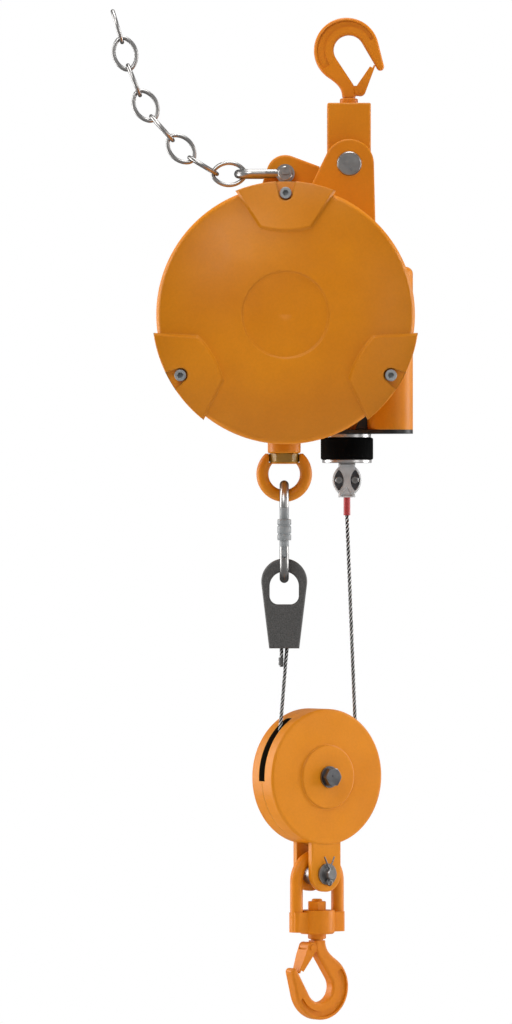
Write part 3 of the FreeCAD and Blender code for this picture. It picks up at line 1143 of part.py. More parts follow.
def rope_right_fall():
    """Rope from the stop's sleeve down to the sheave."""
    return one(fall(1)[2])


def rope_left_fall():
    """Rope from the wedge socket down to the sheave."""
    return one(fall(-1)[2])


def rope_wrap():
    """Rope round the under side of the sheave."""
    right, left = fall(1)[1], fall(-1)[1]
    return one(wire_tube([arc(right, polar(HUB, SHEAVE_PITCH_R, 270), left)], ROPE_D))


def rope_feed():
    """Rope from the drum down through the outlet and the buffer to the stop's sleeve."""
    return one(post(ROPE_R, RED_FOOT, AXIS_Z, ROPE_X, 0))


# ================================================================================================
# Safety chain
# ================================================================================================
def shackle_bow():
    """D shackle in a level plane: two eyes on the lug and a bow to the left."""
    eye_y = LUG_T / 2 + GAP + SHACKLE_WIRE / 2
    spread = eye_y + SHACKLE_SPREAD
    bend_x = SHACKLE_BOW_X + spread
    neck_x = AXIS_X - SHACKLE_TAPER_L

    def at(x, y):
        return V(x, y, SHACKLE_Z)
    bar = wire_tube([Part.makeLine(at(AXIS_X, eye_y), at(neck_x, spread)),
                     Part.makeLine(at(neck_x, spread), at(bend_x, spread)),
                     arc(at(bend_x, spread), at(SHACKLE_BOW_X, 0), at(bend_x, -spread)),
                     Part.makeLine(at(bend_x, -spread), at(neck_x, -spread)),
                     Part.makeLine(at(neck_x, -spread), at(AXIS_X, -eye_y))], SHACKLE_WIRE)
    inner, outer = LUG_T / 2 + GAP, LUG_T / 2 + GAP + SHACKLE_WIRE
    eyes = [across(SHACKLE_EYE_D / 2, AXIS_X, SHACKLE_Z, inner, outer),
            across(SHACKLE_EYE_D / 2, AXIS_X, SHACKLE_Z, -outer, -inner)]
    room = slab(neck_x + 4, AXIS_X + SHACKLE_EYE_D, -inner, inner,
                SHACKLE_Z - SHACKLE_EYE_D, SHACKLE_Z + SHACKLE_EYE_D)
    hole = across(SHACKLE_PIN_D / 2, AXIS_X, SHACKLE_Z, -2 * outer, 2 * outer)
    head_room = across(SHACKLE_HEAD_D / 2 + GAP, AXIS_X, SHACKLE_Z, -2 * outer, -outer)
    return one(bar.fuse(eyes).cut([room, hole, head_room]).removeSplitter())


def shackle_pin():
    """Screw pin of the shackle with a slotted head."""
    outer = LUG_T / 2 + GAP + SHACKLE_WIRE
    stem = across(SHACKLE_PIN_D / 2, AXIS_X, SHACKLE_Z, -outer, outer + 2)
    head_y = -outer - SHACKLE_HEAD_H
    head = bevelled(across(SHACKLE_HEAD_D / 2, AXIS_X, SHACKLE_Z, head_y, -outer), 0.8, in_plane("y", head_y))
    slot = slab(AXIS_X - 2, AXIS_X + 2, -outer - 5, -outer - 2.5, SHACKLE_Z - 20, SHACKLE_Z + 20)
    slot.rotate(V(AXIS_X, 0, SHACKLE_Z), Y_AXIS, 20)
    return one(stem.fuse(head).cut(slot).removeSplitter())


def link_shape():
    """One link in the XZ plane along X: two tight ends joined by flatter sides."""
    half_l, half_w = (LINK_L - LINK_WIRE) / 2, (LINK_W - LINK_WIRE) / 2
    r = LINK_END_R
    c = half_l - r
    # the side arc is tangent inside to both end circles and passes through the top
    side_r = (c * c + half_w * half_w - r * r) / (2 * (half_w - r))
    side_z = half_w - side_r
    reach = math.hypot(c, side_z)
    touch = V(c + c / reach * r, 0, -side_z / reach * r)
    t = [V(touch.x, 0, touch.z), V(-touch.x, 0, touch.z), V(-touch.x, 0, -touch.z), V(touch.x, 0, -touch.z)]
    return wire_tube([arc(t[3], V(half_l, 0, 0), t[0]), arc(t[0], V(0, 0, half_w), t[1]),
                      arc(t[1], V(-half_l, 0, 0), t[2]), arc(t[2], V(0, 0, -half_w), t[3])], LINK_WIRE)


def chain_links():
    """Eight links from the shackle's bow upwards to the left, every second one on edge."""
    pivot = V(SHACKLE_BOW_X, 0, SHACKLE_Z)
    shapes, pivots = [], []
    inner = SHACKLE_WIRE / 2
    for i, angle in enumerate(LINK_ANGLES):
        way = V(-math.cos(math.radians(angle)), 0, math.sin(math.radians(angle)))
        flat = i % 2 == 0
        if i == 0:
            first, last = LINK_L / 2 - LINK_WIRE - inner, LINK_L / 2 - LINK_WIRE * 1.5
        elif flat:
            first = last = LINK_L / 2 - LINK_WIRE * 1.5
        else:
            first = last = (LINK_L - LINK_WIRE) / 2
        centre = pivot + way * first
        link = link_shape()
        if not flat:
            link.rotate(V(0, 0, 0), X_AXIS, 90)
        link.rotate(V(0, 0, 0), Y_AXIS, angle)
        link.translate(centre)
        shapes.append(one(link))
        pivots.append(V(pivot))
        pivot = centre + way * last
    return shapes, pivots


# ================================================================================================
# Export
# ================================================================================================
def all_parts():
    """Every node's name and solid."""
    parts = {
        "top_hook": top_hook(), "top_latch": latch_sheet(), "top_hook_nut": top_hook_nut(),
        "suspension_block": suspension_block(), "suspension_pin": suspension_pin(),
        "housing": housing(), "front_cover": front_cover(),
        "arbor_shaft": arbor_shaft(), "front_bearing": ball_bearing(FRONT_BEARING_Y),
        "rear_bearing": ball_bearing(REAR_BEARING_Y), "spring_barrel": spring_barrel(),
        "power_spring": power_spring(), "rope_drum": rope_drum(), "worm_spindle": worm_spindle(),
        "bottom_plate": bottom_plate(), "upper_disc": upper_disc(), "rubber_buffer": rubber_buffer(),
        "lower_disc": lower_disc(), "eye_bolt": eye_bolt(), "eye_nut": eye_nut(),
        "carabiner": carabiner(), "carabiner_gate": carabiner_gate(), "gate_sleeve": gate_sleeve(),
        "wedge_socket": wedge_socket(), "wedge": wedge(), "rope_tail": rope_tail(), "tail_clip": tail_clip(),
        "rope_stop_front": rope_stop_half(True), "rope_stop_rear": rope_stop_half(False),
        "rope_sleeve": rope_sleeve(), "rope_feed": rope_feed(),
        "shackle_bow": shackle_bow(), "shackle_pin": shackle_pin(),
    }
    for number, angle in enumerate(screw_angles(), 1):
        parts["cover_screw_%d" % number] = cover_screw(angle)
    rear = pulley_shell()
    square = {
        "pulley_rear_shell": rear, "pulley_front_shell": one(rear.mirror(V(0, 0, 0), Y_AXIS)),
        "sheave": sheave(), "sheave_bush": sheave_bush(), "pulley_bolt": pulley_bolt(),
        "pulley_nut": pulley_nut(), "clevis_pin": clevis_pin(), "pin_bush": pin_bush(),
        "split_pin": split_pin(), "stirrup": stirrup(), "load_hook": load_hook(),
        "load_latch": load_latch(), "load_hook_nut": load_hook_nut(),
        "rope_right_fall": rope_right_fall(), "rope_left_fall": rope_left_fall(), "rope_wrap": rope_wrap(),
    }
    for name, shape in square.items():
        parts[name] = placed(shape)
    for number, shape in enumerate(chain_links()[0], 1):
        parts["chain_link_%d" % number] = shape
    return parts


os.makedirs("parts", exist_ok=True)
for name, shape in all_parts().items():
    shape.exportStep("parts/%s.step" % name)
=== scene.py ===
"""Looks of the tool balancer: materials, stranded rope, small fittings, studio and camera."""
import json
import math

import bpy
import bmesh
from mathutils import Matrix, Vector


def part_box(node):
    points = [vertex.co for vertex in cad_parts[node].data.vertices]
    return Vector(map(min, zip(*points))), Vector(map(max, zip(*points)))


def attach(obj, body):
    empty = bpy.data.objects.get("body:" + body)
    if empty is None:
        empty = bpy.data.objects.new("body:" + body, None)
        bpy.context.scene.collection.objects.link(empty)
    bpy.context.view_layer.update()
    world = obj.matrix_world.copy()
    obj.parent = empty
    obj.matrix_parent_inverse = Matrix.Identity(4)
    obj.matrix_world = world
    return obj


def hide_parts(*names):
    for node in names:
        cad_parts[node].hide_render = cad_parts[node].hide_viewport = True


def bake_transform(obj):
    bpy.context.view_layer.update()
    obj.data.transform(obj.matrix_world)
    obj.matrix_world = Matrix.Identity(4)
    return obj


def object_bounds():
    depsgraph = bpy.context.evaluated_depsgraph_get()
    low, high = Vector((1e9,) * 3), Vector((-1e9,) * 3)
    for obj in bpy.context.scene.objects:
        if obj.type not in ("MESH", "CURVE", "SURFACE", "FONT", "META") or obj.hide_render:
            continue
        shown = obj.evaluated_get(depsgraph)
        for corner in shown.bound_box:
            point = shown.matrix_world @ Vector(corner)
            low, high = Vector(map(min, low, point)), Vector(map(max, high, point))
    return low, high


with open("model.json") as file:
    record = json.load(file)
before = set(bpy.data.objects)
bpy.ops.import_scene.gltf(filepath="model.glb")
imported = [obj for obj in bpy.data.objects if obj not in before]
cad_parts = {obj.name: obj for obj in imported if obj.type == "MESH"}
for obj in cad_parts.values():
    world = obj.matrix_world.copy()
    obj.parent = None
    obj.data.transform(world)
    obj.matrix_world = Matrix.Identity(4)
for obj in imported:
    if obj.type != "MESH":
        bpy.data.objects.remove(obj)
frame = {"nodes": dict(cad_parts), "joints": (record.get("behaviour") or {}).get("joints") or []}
CAD_BOX = [[float(v) for v in corner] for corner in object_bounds()]
NODES = frame["nodes"]
MM = 0.001

PAINT_HIGHLIGHT_WIDTH = 1.4 * MM       # width of the painted highlight, paler paint along edges
PAINT_ROUND = 2.0 * MM      # how far painted edges look rounded off
CAST_ROUND = 1.2 * MM       # the same on castings, rubber and plastic
METAL_HIGHLIGHT_WIDTH = 0.8 * MM       # width of the painted highlight, brighter colour along metal and other edges
COVER_CROWN = 9.0           # how strongly the cover looks domed, per square metre


# ================================================================================================
# Materials
# ================================================================================================
def new_material(name):
    """Empty node material with a Principled shader on its output."""
    mat = bpy.data.materials.new(name)
    mat.use_nodes = True
    tree = mat.node_tree
    tree.nodes.clear()
    out = tree.nodes.new("ShaderNodeOutputMaterial")
    shader = tree.nodes.new("ShaderNodeBsdfPrincipled")
    tree.links.new(shader.outputs["BSDF"], out.inputs["Surface"])
    return mat, tree, shader


def noise(tree, scale, detail=4.0, rough=0.55, stretch=(1, 1, 1)):
    """Noise in object space, stretched by scaling the coordinates."""
    place = tree.nodes.new("ShaderNodeTexCoord")
    mapping = tree.nodes.new("ShaderNodeMapping")
    mapping.inputs["Scale"].default_value = stretch
    texture = tree.nodes.new("ShaderNodeTexNoise")
    texture.inputs["Scale"].default_value = scale
    texture.inputs["Detail"].default_value = detail
    texture.inputs["Roughness"].default_value = rough
    tree.links.new(place.outputs["Object"], mapping.inputs["Vector"])
    tree.links.new(mapping.outputs["Vector"], texture.inputs["Vector"])
    return texture.outputs["Fac"]


def ramp(tree, value, stops):
    """Colour ramp with two (position, RGB) stops."""
    node = tree.nodes.new("ShaderNodeValToRGB")
    for element, (position, colour) in zip(node.color_ramp.elements, stops):
        element.position = position
        element.color = (*colour, 1.0)
    tree.links.new(value, node.inputs["Fac"])
    return node.outputs["Color"]


def spread(tree, value, low, high):
    """Map a noise value to a range."""
    node = tree.nodes.new("ShaderNodeMapRange")
    node.inputs["From Min"].default_value = 0.3
    node.inputs["From Max"].default_value = 0.7
    node.inputs["To Min"].default_value = low
    node.inputs["To Max"].default_value = high
    tree.links.new(value, node.inputs["Value"])
    return node.outputs["Result"]


def mixed(tree, factor, first, second):
    """Mix from a colour socket to an RGB tuple, by a factor socket."""
    node = tree.nodes.new("ShaderNodeMix")
    node.data_type = "RGBA"
    tree.links.new(factor, node.inputs[0])
    tree.links.new(first, node.inputs[6])
    node.inputs[7].default_value = (*second, 1.0)
    return node.outputs[2]


def edge_mask(tree, radius, high=0.25):
    """1 along sharp edges, 0 on flats, from how far a rounded normal leaves the true one."""
    bevel = tree.nodes.new("ShaderNodeBevel")
    bevel.samples = 6
    bevel.inputs["Radius"].default_value = radius
    true = tree.nodes.new("ShaderNodeNewGeometry")
    dot = tree.nodes.new("ShaderNodeVectorMath")
    dot.operation = "DOT_PRODUCT"
    tree.links.new(bevel.outputs["Normal"], dot.inputs[0])
    tree.links.new(true.outputs["Normal"], dot.inputs[1])
    node = tree.nodes.new("ShaderNodeMapRange")
    node.inputs["From Min"].default_value = 0.98
    node.inputs["From Max"].default_value = 1.0 - high
    tree.links.new(dot.outputs["Value"], node.inputs["Value"])
    return node.outputs["Result"]


def bump(tree, shader, height, distance, strength, round_edge=0.0):
    """Bump from a height value, over edges that look rounded off."""
    node = tree.nodes.new("ShaderNodeBump")
    if round_edge:
        bevel = tree.nodes.new("ShaderNodeBevel")
        bevel.samples = 8
        bevel.inputs["Radius"].default_value = round_edge
        tree.links.new(bevel.outputs["Normal"], node.inputs["Normal"])
    node.inputs["Distance"].default_value = distance
    node.inputs["Strength"].default_value = strength
    tree.links.new(height, node.inputs["Height"])
    tree.links.new(node.outputs["Normal"], shader.inputs["Normal"])


def crown(tree, hub, rise):
    """Height that falls off with the cube of the distance from a point, for a gently domed face."""
    place = tree.nodes.new("ShaderNodeTexCoord")
    reach = tree.nodes.new("ShaderNodeVectorMath")
    reach.operation = "DISTANCE"
    reach.inputs[1].default_value = hub
    cube = tree.nodes.new("ShaderNodeMath")
    cube.operation = "POWER"
    cube.inputs[1].default_value = 3.0
    fall = tree.nodes.new("ShaderNodeMath")
    fall.operation = "MULTIPLY"
    fall.inputs[1].default_value = -rise
    tree.links.new(place.outputs["Object"], reach.inputs[0])
    tree.links.new(reach.outputs["Value"], cube.inputs[0])
    tree.links.new(cube.outputs["Value"], fall.inputs[0])
    return fall.outputs["Value"]


def powder_coat(name, low=(0.57, 0.176, 0.001), high=(0.67, 0.222, 0.002), hub=None, edged=True):
    """Yellow-orange powder coat with fine orange peel; edged pales the edges as a painted highlight and
    rounds them, hub domes the face.
    """
    mat, tree, shader = new_material(name)
    body = ramp(tree, noise(tree, 9.0, 3.0), [(0.30, low), (0.70, high)])
    speckle = ramp(tree, noise(tree, 420.0, 2.0), [(0.38, (0.955, 0.955, 0.955)), (0.62, (1.0, 1.0, 1.0))])
    edge_lit_body = body
    if edged:
        # Paler paint along edges: a painted highlight on edges that catch the light
        edge_lit_body = mixed(tree, edge_mask(tree, PAINT_HIGHLIGHT_WIDTH, 0.35), body, (0.80, 0.36, 0.045))
    colour = tree.nodes.new("ShaderNodeMix")
    colour.data_type = "RGBA"
    colour.blend_type = "MULTIPLY"
    colour.inputs[0].default_value = 1.0
    tree.links.new(edge_lit_body, colour.inputs[6])
    tree.links.new(speckle, colour.inputs[7])
    tree.links.new(colour.outputs[2], shader.inputs["Base Color"])
    tree.links.new(spread(tree, noise(tree, 60.0), 0.36, 0.47), shader.inputs["Roughness"])
    shader.inputs["Specular IOR Level"].default_value = 0.24
    shader.inputs["Coat Weight"].default_value = 0.03
    shader.inputs["Coat Roughness"].default_value = 0.28
    bump(tree, shader, noise(tree, 900.0, 2.0), 0.10 * MM, 0.35, PAINT_ROUND if edged else 0.0)
    if hub:
        peel = shader.inputs["Normal"].links[0].from_node
        dome = tree.nodes.new("ShaderNodeBump")
        dome.inputs["Distance"].default_value = 1.0
        tree.links.new(crown(tree, hub, COVER_CROWN), dome.inputs["Height"])
        tree.links.new(peel.inputs["Normal"].links[0].from_socket, dome.inputs["Normal"])
        tree.links.new(dome.outputs["Normal"], peel.inputs["Normal"])
    return mat


def metal(name, dark, light, rough, grain=40.0, edge_highlight=None, bump_mm=0.03, stretch=(1, 1, 1), rim=(1, 1, 1)):
    """Bare or plated metal with uneven tone and gloss and a fine surface; rim tints grazing reflections."""
    mat, tree, shader = new_material(name)
    tone = ramp(tree, noise(tree, grain, 5.0, 0.6, stretch), [(0.32, dark), (0.68, light)])
    # edge_highlight pales the colour along edges: a painted highlight
    if edge_highlight:
        tone = mixed(tree, edge_mask(tree, METAL_HIGHLIGHT_WIDTH), tone, edge_highlight)
    tree.links.new(tone, shader.inputs["Base Color"])
    shader.inputs["Metallic"].default_value = 1.0
    shader.inputs["Specular Tint"].default_value = (*rim, 1.0)
    gloss = spread(tree, noise(tree, grain * 3, 4.0, 0.6, stretch), *rough)
    tree.links.new(gloss, shader.inputs["Roughness"])
    bump(tree, shader, noise(tree, 600.0, 3.0, 0.6, stretch), bump_mm * MM, 0.5)
    return mat


def plain(name, dark, light, rough, scale=60.0, bump_mm=0.05, bump_scale=700.0, specular=0.5, edge_highlight=None):
    """Non-metal with uneven tone and a fine surface."""
    mat, tree, shader = new_material(name)
    tone = ramp(tree, noise(tree, scale, 4.0), [(0.3, dark), (0.7, light)])
    # edge_highlight pales the colour along edges: a painted highlight
    if edge_highlight:
        tone = mixed(tree, edge_mask(tree, METAL_HIGHLIGHT_WIDTH), tone, edge_highlight)
    tree.links.new(tone, shader.inputs["Base Color"])
    tree.links.new(spread(tree, noise(tree, scale * 2), *rough), shader.inputs["Roughness"])
    shader.inputs["Specular IOR Level"].default_value = specular
    bump(tree, shader, noise(tree, bump_scale, 3.0), bump_mm * MM, 0.6, CAST_ROUND)
    return mat


YELLOW = powder_coat("powder_coat")
COVER_HUB = tuple(sum(ends) / 2 for ends in zip(*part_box("spring_barrel")))
COVER_YELLOW = powder_coat("powder_coat_cover", hub=COVER_HUB)
HOOK_YELLOW = powder_coat("powder_coat_forging", (0.56, 0.158, 0.001), (0.66, 0.200, 0.002), edged=False)
BRIGHT = metal("bright_zinc", (0.33, 0.32, 0.31), (0.50, 0.49, 0.48), (0.27, 0.36), 50.0,
               bump_mm=0.0, rim=(0.16, 0.16, 0.16))
STEEL = metal("turned_steel", (0.30, 0.29, 0.285), (0.42, 0.41, 0.40), (0.26, 0.38), 60.0,
              edge_highlight=(0.68, 0.68, 0.68))
DARK_STEEL = metal("black_steel", (0.13, 0.13, 0.135), (0.24, 0.24, 0.25), (0.26, 0.40), 60.0,
                   edge_highlight=(0.50, 0.50, 0.50))
DISC = metal("disc_steel", (0.56, 0.54, 0.53), (0.68, 0.66, 0.65), (0.26, 0.36),
             bump_mm=0.02, stretch=(1, 1, 8))
# Dark colour for sheets on recess floors: painted shade; its paler edges are painted highlight
RECESS_SHADE = metal("recess_shade_paint", (0.10, 0.10, 0.105), (0.17, 0.17, 0.18), (0.42, 0.55), 60.0,
               edge_highlight=(0.30, 0.30, 0.31), bump_mm=0.06)
ROPE = metal("rope_wire", (0.46, 0.45, 0.44), (0.66, 0.65, 0.64), (0.26, 0.36), 260.0, bump_mm=0.04)
BRONZE = metal("bronze", (0.45, 0.30, 0.14), (0.62, 0.43, 0.22), (0.3, 0.42), 60.0)
# Dark rope core, also put on every other strand: painted shade for the rope's grooves
CORE_SHADE = plain("rope_core_shade", (0.010, 0.009, 0.008), (0.028, 0.024, 0.021), (0.6, 0.7), 260.0, specular=0.1)
SHEAVE_STEEL = plain("sheave_steel", (0.42, 0.41, 0.40), (0.58, 0.57, 0.56), (0.3, 0.4), bump_mm=0.03,
                     specular=0.8)
MATT_ZINC = plain("matt_zinc", (0.20, 0.21, 0.215), (0.27, 0.28, 0.285), (0.34, 0.46), bump_mm=0.03,
                  specular=0.6)
DIE_CAST = plain("die_cast", (0.42, 0.42, 0.42), (0.54, 0.54, 0.54), (0.38, 0.50), 90.0, bump_mm=0.08)
BRASS = plain("yellow_zinc", (0.23, 0.125, 0.010), (0.33, 0.185, 0.018), (0.34, 0.46), 70.0, bump_mm=0.04,
              specular=0.6)
CAST = plain("dark_cast", (0.034, 0.032, 0.030), (0.100, 0.096, 0.092), (0.42, 0.62), 760.0, bump_mm=0.40,
             specular=0.6, edge_highlight=(0.16, 0.16, 0.16))
BLACK = plain("black_paint", (0.006, 0.006, 0.006), (0.016, 0.016, 0.016), (0.30, 0.45), specular=0.4,
              edge_highlight=(0.05, 0.05, 0.05))
RUBBER = plain("black_rubber", (0.001, 0.001, 0.001), (0.003, 0.003, 0.003), (0.75, 0.90), 70.0, bump_mm=0.10,
               bump_scale=900.0, specular=0.04)
RED = plain("red_plastic", (0.36, 0.030, 0.032), (0.48, 0.048, 0.050), (0.26, 0.38), 80.0, bump_mm=0.03,
            bump_scale=800.0)
# Dark colour for faces inside the pulley slot: painted shade
SLOT_SHADE = plain("slot_shadow", (0.010, 0.007, 0.004), (0.022, 0.015, 0.008), (0.55, 0.7), specular=0.2)

FINISH = {
    COVER_YELLOW: ["front_cover"],
    YELLOW: ["housing", "suspension_block", "pulley_front_shell", "pulley_rear_shell", "eye_bolt"],
    HOOK_YELLOW: ["top_hook", "load_hook", "top_latch", "load_latch", "stirrup", "load_hook_nut"],
    MATT_ZINC: ["carabiner_gate", "gate_sleeve", "cover_screw_1", "cover_screw_2", "cover_screw_3"],
    BRIGHT: ["carabiner", "shackle_bow", "shackle_pin"] + ["chain_link_%d" % i for i in range(1, 9)],
    STEEL: ["suspension_pin", "arbor_shaft", "front_bearing", "rear_bearing", "power_spring", "worm_spindle",
            "clevis_pin", "pin_bush", "top_hook_nut"],
    SHEAVE_STEEL: ["sheave"],
    DARK_STEEL: ["spring_barrel", "pulley_bolt", "pulley_nut", "split_pin"],
    DISC: ["upper_disc", "lower_disc"],
    DIE_CAST: ["rope_stop_front", "rope_stop_rear", "rope_drum"],
    BRASS: ["eye_nut"],
    BRONZE: ["sheave_bush"],
    CAST: ["wedge_socket", "wedge", "tail_clip"],
    BLACK: ["bottom_plate"],
    RUBBER: ["rubber_buffer"],
    RED: ["rope_sleeve"],
    ROPE: ["rope_feed", "rope_right_fall", "rope_left_fall", "rope_wrap", "rope_tail"],
}


def dress_nodes():
    """Give each CAD node its material."""
    for mat, names in FINISH.items():
        for name in names:
            obj = NODES[name]
            if not obj.material_slots:
                obj.data.materials.append(mat)
            for spot in obj.material_slots:
                spot.material = mat


def shade_slot():
    """Painted shade: dark inner faces in the pulley block, where the slot lets the eye in."""
    half_gap, reach, mouth = 14 * MM, 75.0 * MM, -60 * MM
    turn = next(j for j in frame["joints"] if j["name"] == "sheave_turn")
    hub, axle = Vector(turn["pos_m"]), Vector(turn["axis"]).normalized()
    for name in ("pulley_front_shell", "pulley_rear_shell"):
        obj = NODES[name]
        obj.data.materials.append(SLOT_SHADE)
        dark = len(obj.data.materials) - 1
        for face in obj.data.polygons:
            arm = face.center - hub
            along = arm.dot(axle)
            if abs(along) < half_gap and (arm - axle * along).length < reach and arm.z > mouth:
                face.material_index = dark


# ================================================================================================
# Geometry helpers
# ================================================================================================
def middle(node):
    """Centre of a node's box."""
    low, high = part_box(node)
    return (Vector(low) + Vector(high)) / 2


def piece(name, bm, mat, smooth=True):
    """Object from a bmesh, shaded and given its material."""
    mesh = bpy.data.meshes.new(name)
    bmesh.ops.recalc_face_normals(bm, faces=bm.faces)
    bm.to_mesh(mesh)
    bm.free()
    if smooth:
        mesh.polygons.foreach_set("use_smooth", [True] * len(mesh.polygons))
    obj = bpy.data.objects.new(name, mesh)
    bpy.context.scene.collection.objects.link(obj)
    mesh.materials.append(mat)
    return obj


def loft(bm, loops):
    """Skin from loop to loop of vertices, closed at both ends."""
    for a, b in zip(loops, loops[1:]):
        for k in range(len(a)):
            following = (k + 1) % len(a)
            bm.faces.new((a[k], a[following], b[following], b[k]))
    bm.faces.new(loops[0])
    bm.faces.new(list(reversed(loops[-1])))


def tube_into(bm, path, radius, sides=8):
    """Closed tube along a list of points."""
    rings = []
    normal = Vector((0, 1, 0))
    count = len(path)
    for i, point in enumerate(path):
        way = (path[min(i + 1, count - 1)] - path[max(i - 1, 0)]).normalized()
        side = (normal - way * normal.dot(way)).normalized()
        up = way.cross(side)
        normal = side
        ring = [bm.verts.new(point + (side * math.cos(a) + up * math.sin(a)) * radius)
                for a in (2 * math.pi * k / sides for k in range(sides))]
        rings.append(ring)
    loft(bm, rings)


# ================================================================================================
# Rope
# ================================================================================================
ROPE_R = 2.25 * MM
STRANDS = 6
STRAND_R = ROPE_R * 0.30
SHADE_STRAND = 0.85          # radius of a strand painted dark as shade, as a share of a bright one's
CORE_R = ROPE_R - STRAND_R * 1.25
LAY = 15.0 * MM             # length of one turn of a strand
STEP = 1.6 * MM             # spacing of points along a straight run
SHEAVE_PITCH_R = 56.0 * MM  # from the sheave's centre to the rope's own centre
WRAP_STEPS = 130
SOCKET_HALF = 3.0 * MM      # the live and dead parts lie this far to each side of the socket's middle
WEDGE_R = 8.5 * MM          # the rope's turn round the wedge
WEDGE_RISE = 32.0 * MM      # from the socket's foot to the middle of that turn
WEDGE_STEPS = 24


def lay_rope(name, path, phase=0.0):
    """Stranded rope along a finely divided path: bright strands by turns with strands painted dark as shade,
    round a core painted dark as shade in the grooves.
    """
    frames = []
    side = Vector((0, 1, 0))
    travelled = 0.0
    for i, point in enumerate(path):
        way = (path[min(i + 1, len(path) - 1)] - path[max(i - 1, 0)]).normalized()
        side = (side - way * side.dot(way)).normalized()
        if i:
            travelled += (point - path[i - 1]).length
        frames.append((point, side.copy(), way.cross(side), travelled))
    bm = bmesh.new()
    for s in range(STRANDS):
        line = []
        for point, side, up, run in frames:
            angle = 2 * math.pi * (s / STRANDS + run / LAY) + phase
            line.append(point + (side * math.cos(angle) + up * math.sin(angle)) * (ROPE_R - STRAND_R))
        done = len(bm.faces)
        tube_into(bm, line, STRAND_R if s % 2 else STRAND_R * SHADE_STRAND)
        bm.faces.ensure_lookup_table()
        # Every other strand takes the dark core material: painted shade for the grooves between strands
        for face in bm.faces[done:]:
            face.material_index = (s + 1) % 2
    done = len(bm.faces)
    # Dark core: painted shade in the grooves between the strands
    tube_into(bm, path, CORE_R, 10)
    bm.faces.ensure_lookup_table()
    for face in bm.faces[done:]:
        face.material_index = 1
    rope = piece(name, bm, ROPE)
    rope.data.materials.append(CORE_SHADE)
    return rope


def straight(start, end):
    """Points along a straight run."""
    count = max(2, int((end - start).length / STEP))
    return [start.lerp(end, i / count) for i in range(count + 1)]


def build_ropes():
    """Five stretches of rope in place of the CAD's plain bars."""
    sleeve, socket, wheel = middle("rope_sleeve"), middle("wedge_socket"), middle("sheave")
    socket_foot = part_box("wedge_socket")[0][2]
    exit_point = Vector((sleeve.x, sleeve.y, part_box("rope_sleeve")[0][2]))
    live = Vector((socket.x + SOCKET_HALF, socket.y, socket_foot))
    dead = Vector((socket.x - SOCKET_HALF, socket.y, socket_foot))
    along = Vector((exit_point.x - live.x, exit_point.y - live.y, 0)).normalized()

    def touch_angle(top, side):
        """Angle on the sheave at which the fall from top touches it."""
        offset = Vector(((top - wheel).dot(along), (top - wheel).z))
        return math.atan2(offset.y, offset.x) - side * math.acos(SHEAVE_PITCH_R / offset.length)

    def on_wheel(angle):
        """Point of the rope's centre line on the sheave."""
        across, up = SHEAVE_PITCH_R * math.cos(angle), SHEAVE_PITCH_R * math.sin(angle)
        return wheel + along * across + Vector((0, 0, up))

    right_angle, left_angle = touch_angle(exit_point, 1), touch_angle(live, -1)
    right_foot, left_foot = on_wheel(right_angle), on_wheel(left_angle)

    feed_top = Vector((exit_point.x, exit_point.y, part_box("rope_feed")[1][2]))
    feed = lay_rope("rope_feed_strands", straight(feed_top, exit_point))
    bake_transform(feed)
    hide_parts("rope_feed")

    right = lay_rope("rope_right_strands", straight(exit_point, right_foot))
    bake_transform(right)
    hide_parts("rope_right_fall")

    left = lay_rope("rope_left_strands", straight(live, left_foot), 1.0)
    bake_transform(left)
    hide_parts("rope_left_fall")

    if left_angle > 0:
        left_angle -= 2 * math.pi
    wrap_path = [on_wheel(right_angle + (left_angle - right_angle) * i / WRAP_STEPS)
                 for i in range(WRAP_STEPS + 1)]
    wrap = lay_rope("rope_wrap_strands", wrap_path, 0.5)
    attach(wrap, "pulley_block")
    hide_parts("rope_wrap")

    centre = Vector((socket.x, socket.y, socket_foot + WEDGE_RISE))
    arc = [centre + Vector((math.cos(a), 0, math.sin(a))) * WEDGE_R
           for a in (math.radians(-8 + 196 * i / WEDGE_STEPS) for i in range(WEDGE_STEPS + 1))]
    tail_end = Vector((dead.x, dead.y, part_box("rope_tail")[0][2]))
    path = straight(live, arc[0])[:-1] + arc + straight(arc[-1], dead)[1:] + straight(dead, tail_end)[1:]
    tail = lay_rope("rope_tail_strands", path, 0.3)
    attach(tail, "balancer")
    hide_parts("rope_tail")


# ================================================================================================
# Small fittings
# ================================================================================================
def turned_piece(name, profile, base, axis, mat, sides=48, hexagon=()):
    """Lathe of (radius, height) points from base along axis; points in hexagon are six-sided."""
    bm = bmesh.new()
    way = Vector(axis).normalized()
    side = way.orthogonal().normalized()
    up = way.cross(side)
    rings = []
    for i, (radius, height) in enumerate(profile):
        ring = []
        for k in range(sides):
            angle = 2 * math.pi * k / sides
            reach = radius
            if i in hexagon:
                reach = radius / math.cos(angle % (math.pi / 3) - math.pi / 6)
            spoke = side * math.cos(angle) + up * math.sin(angle)
            ring.append(bm.verts.new(Vector(base) + spoke * reach + way * height))
        rings.append(ring)
    loft(bm, rings)
    return piece(name, bm, mat, False)


def lens_plate(name, centre, width, height, mat):
    """Thin pointed oval lying against the floor of a recess, to carry painted shade there."""
    bm = bmesh.new()
    radius = (width * width + height * height) / (4 * width)
    half = math.asin(height / 2 / radius)
    offset = radius - width / 2
    steps, half_thick = 16, 0.15 * MM
    rim = []
    for i in range(steps + 1):
        a = -half + 2 * half * i / steps
        rim.append((radius * math.cos(a) - offset, radius * math.sin(a)))
    for i in range(1, steps):
        a = half - 2 * half * i / steps
        rim.append((-(radius * math.cos(a) - offset), radius * math.sin(a)))
    loft(bm, [[bm.verts.new(Vector(centre) + Vector((x, y, z))) for x, z in rim]
              for y in (-half_thick, half_thick)])
    return piece(name, bm, mat, False)


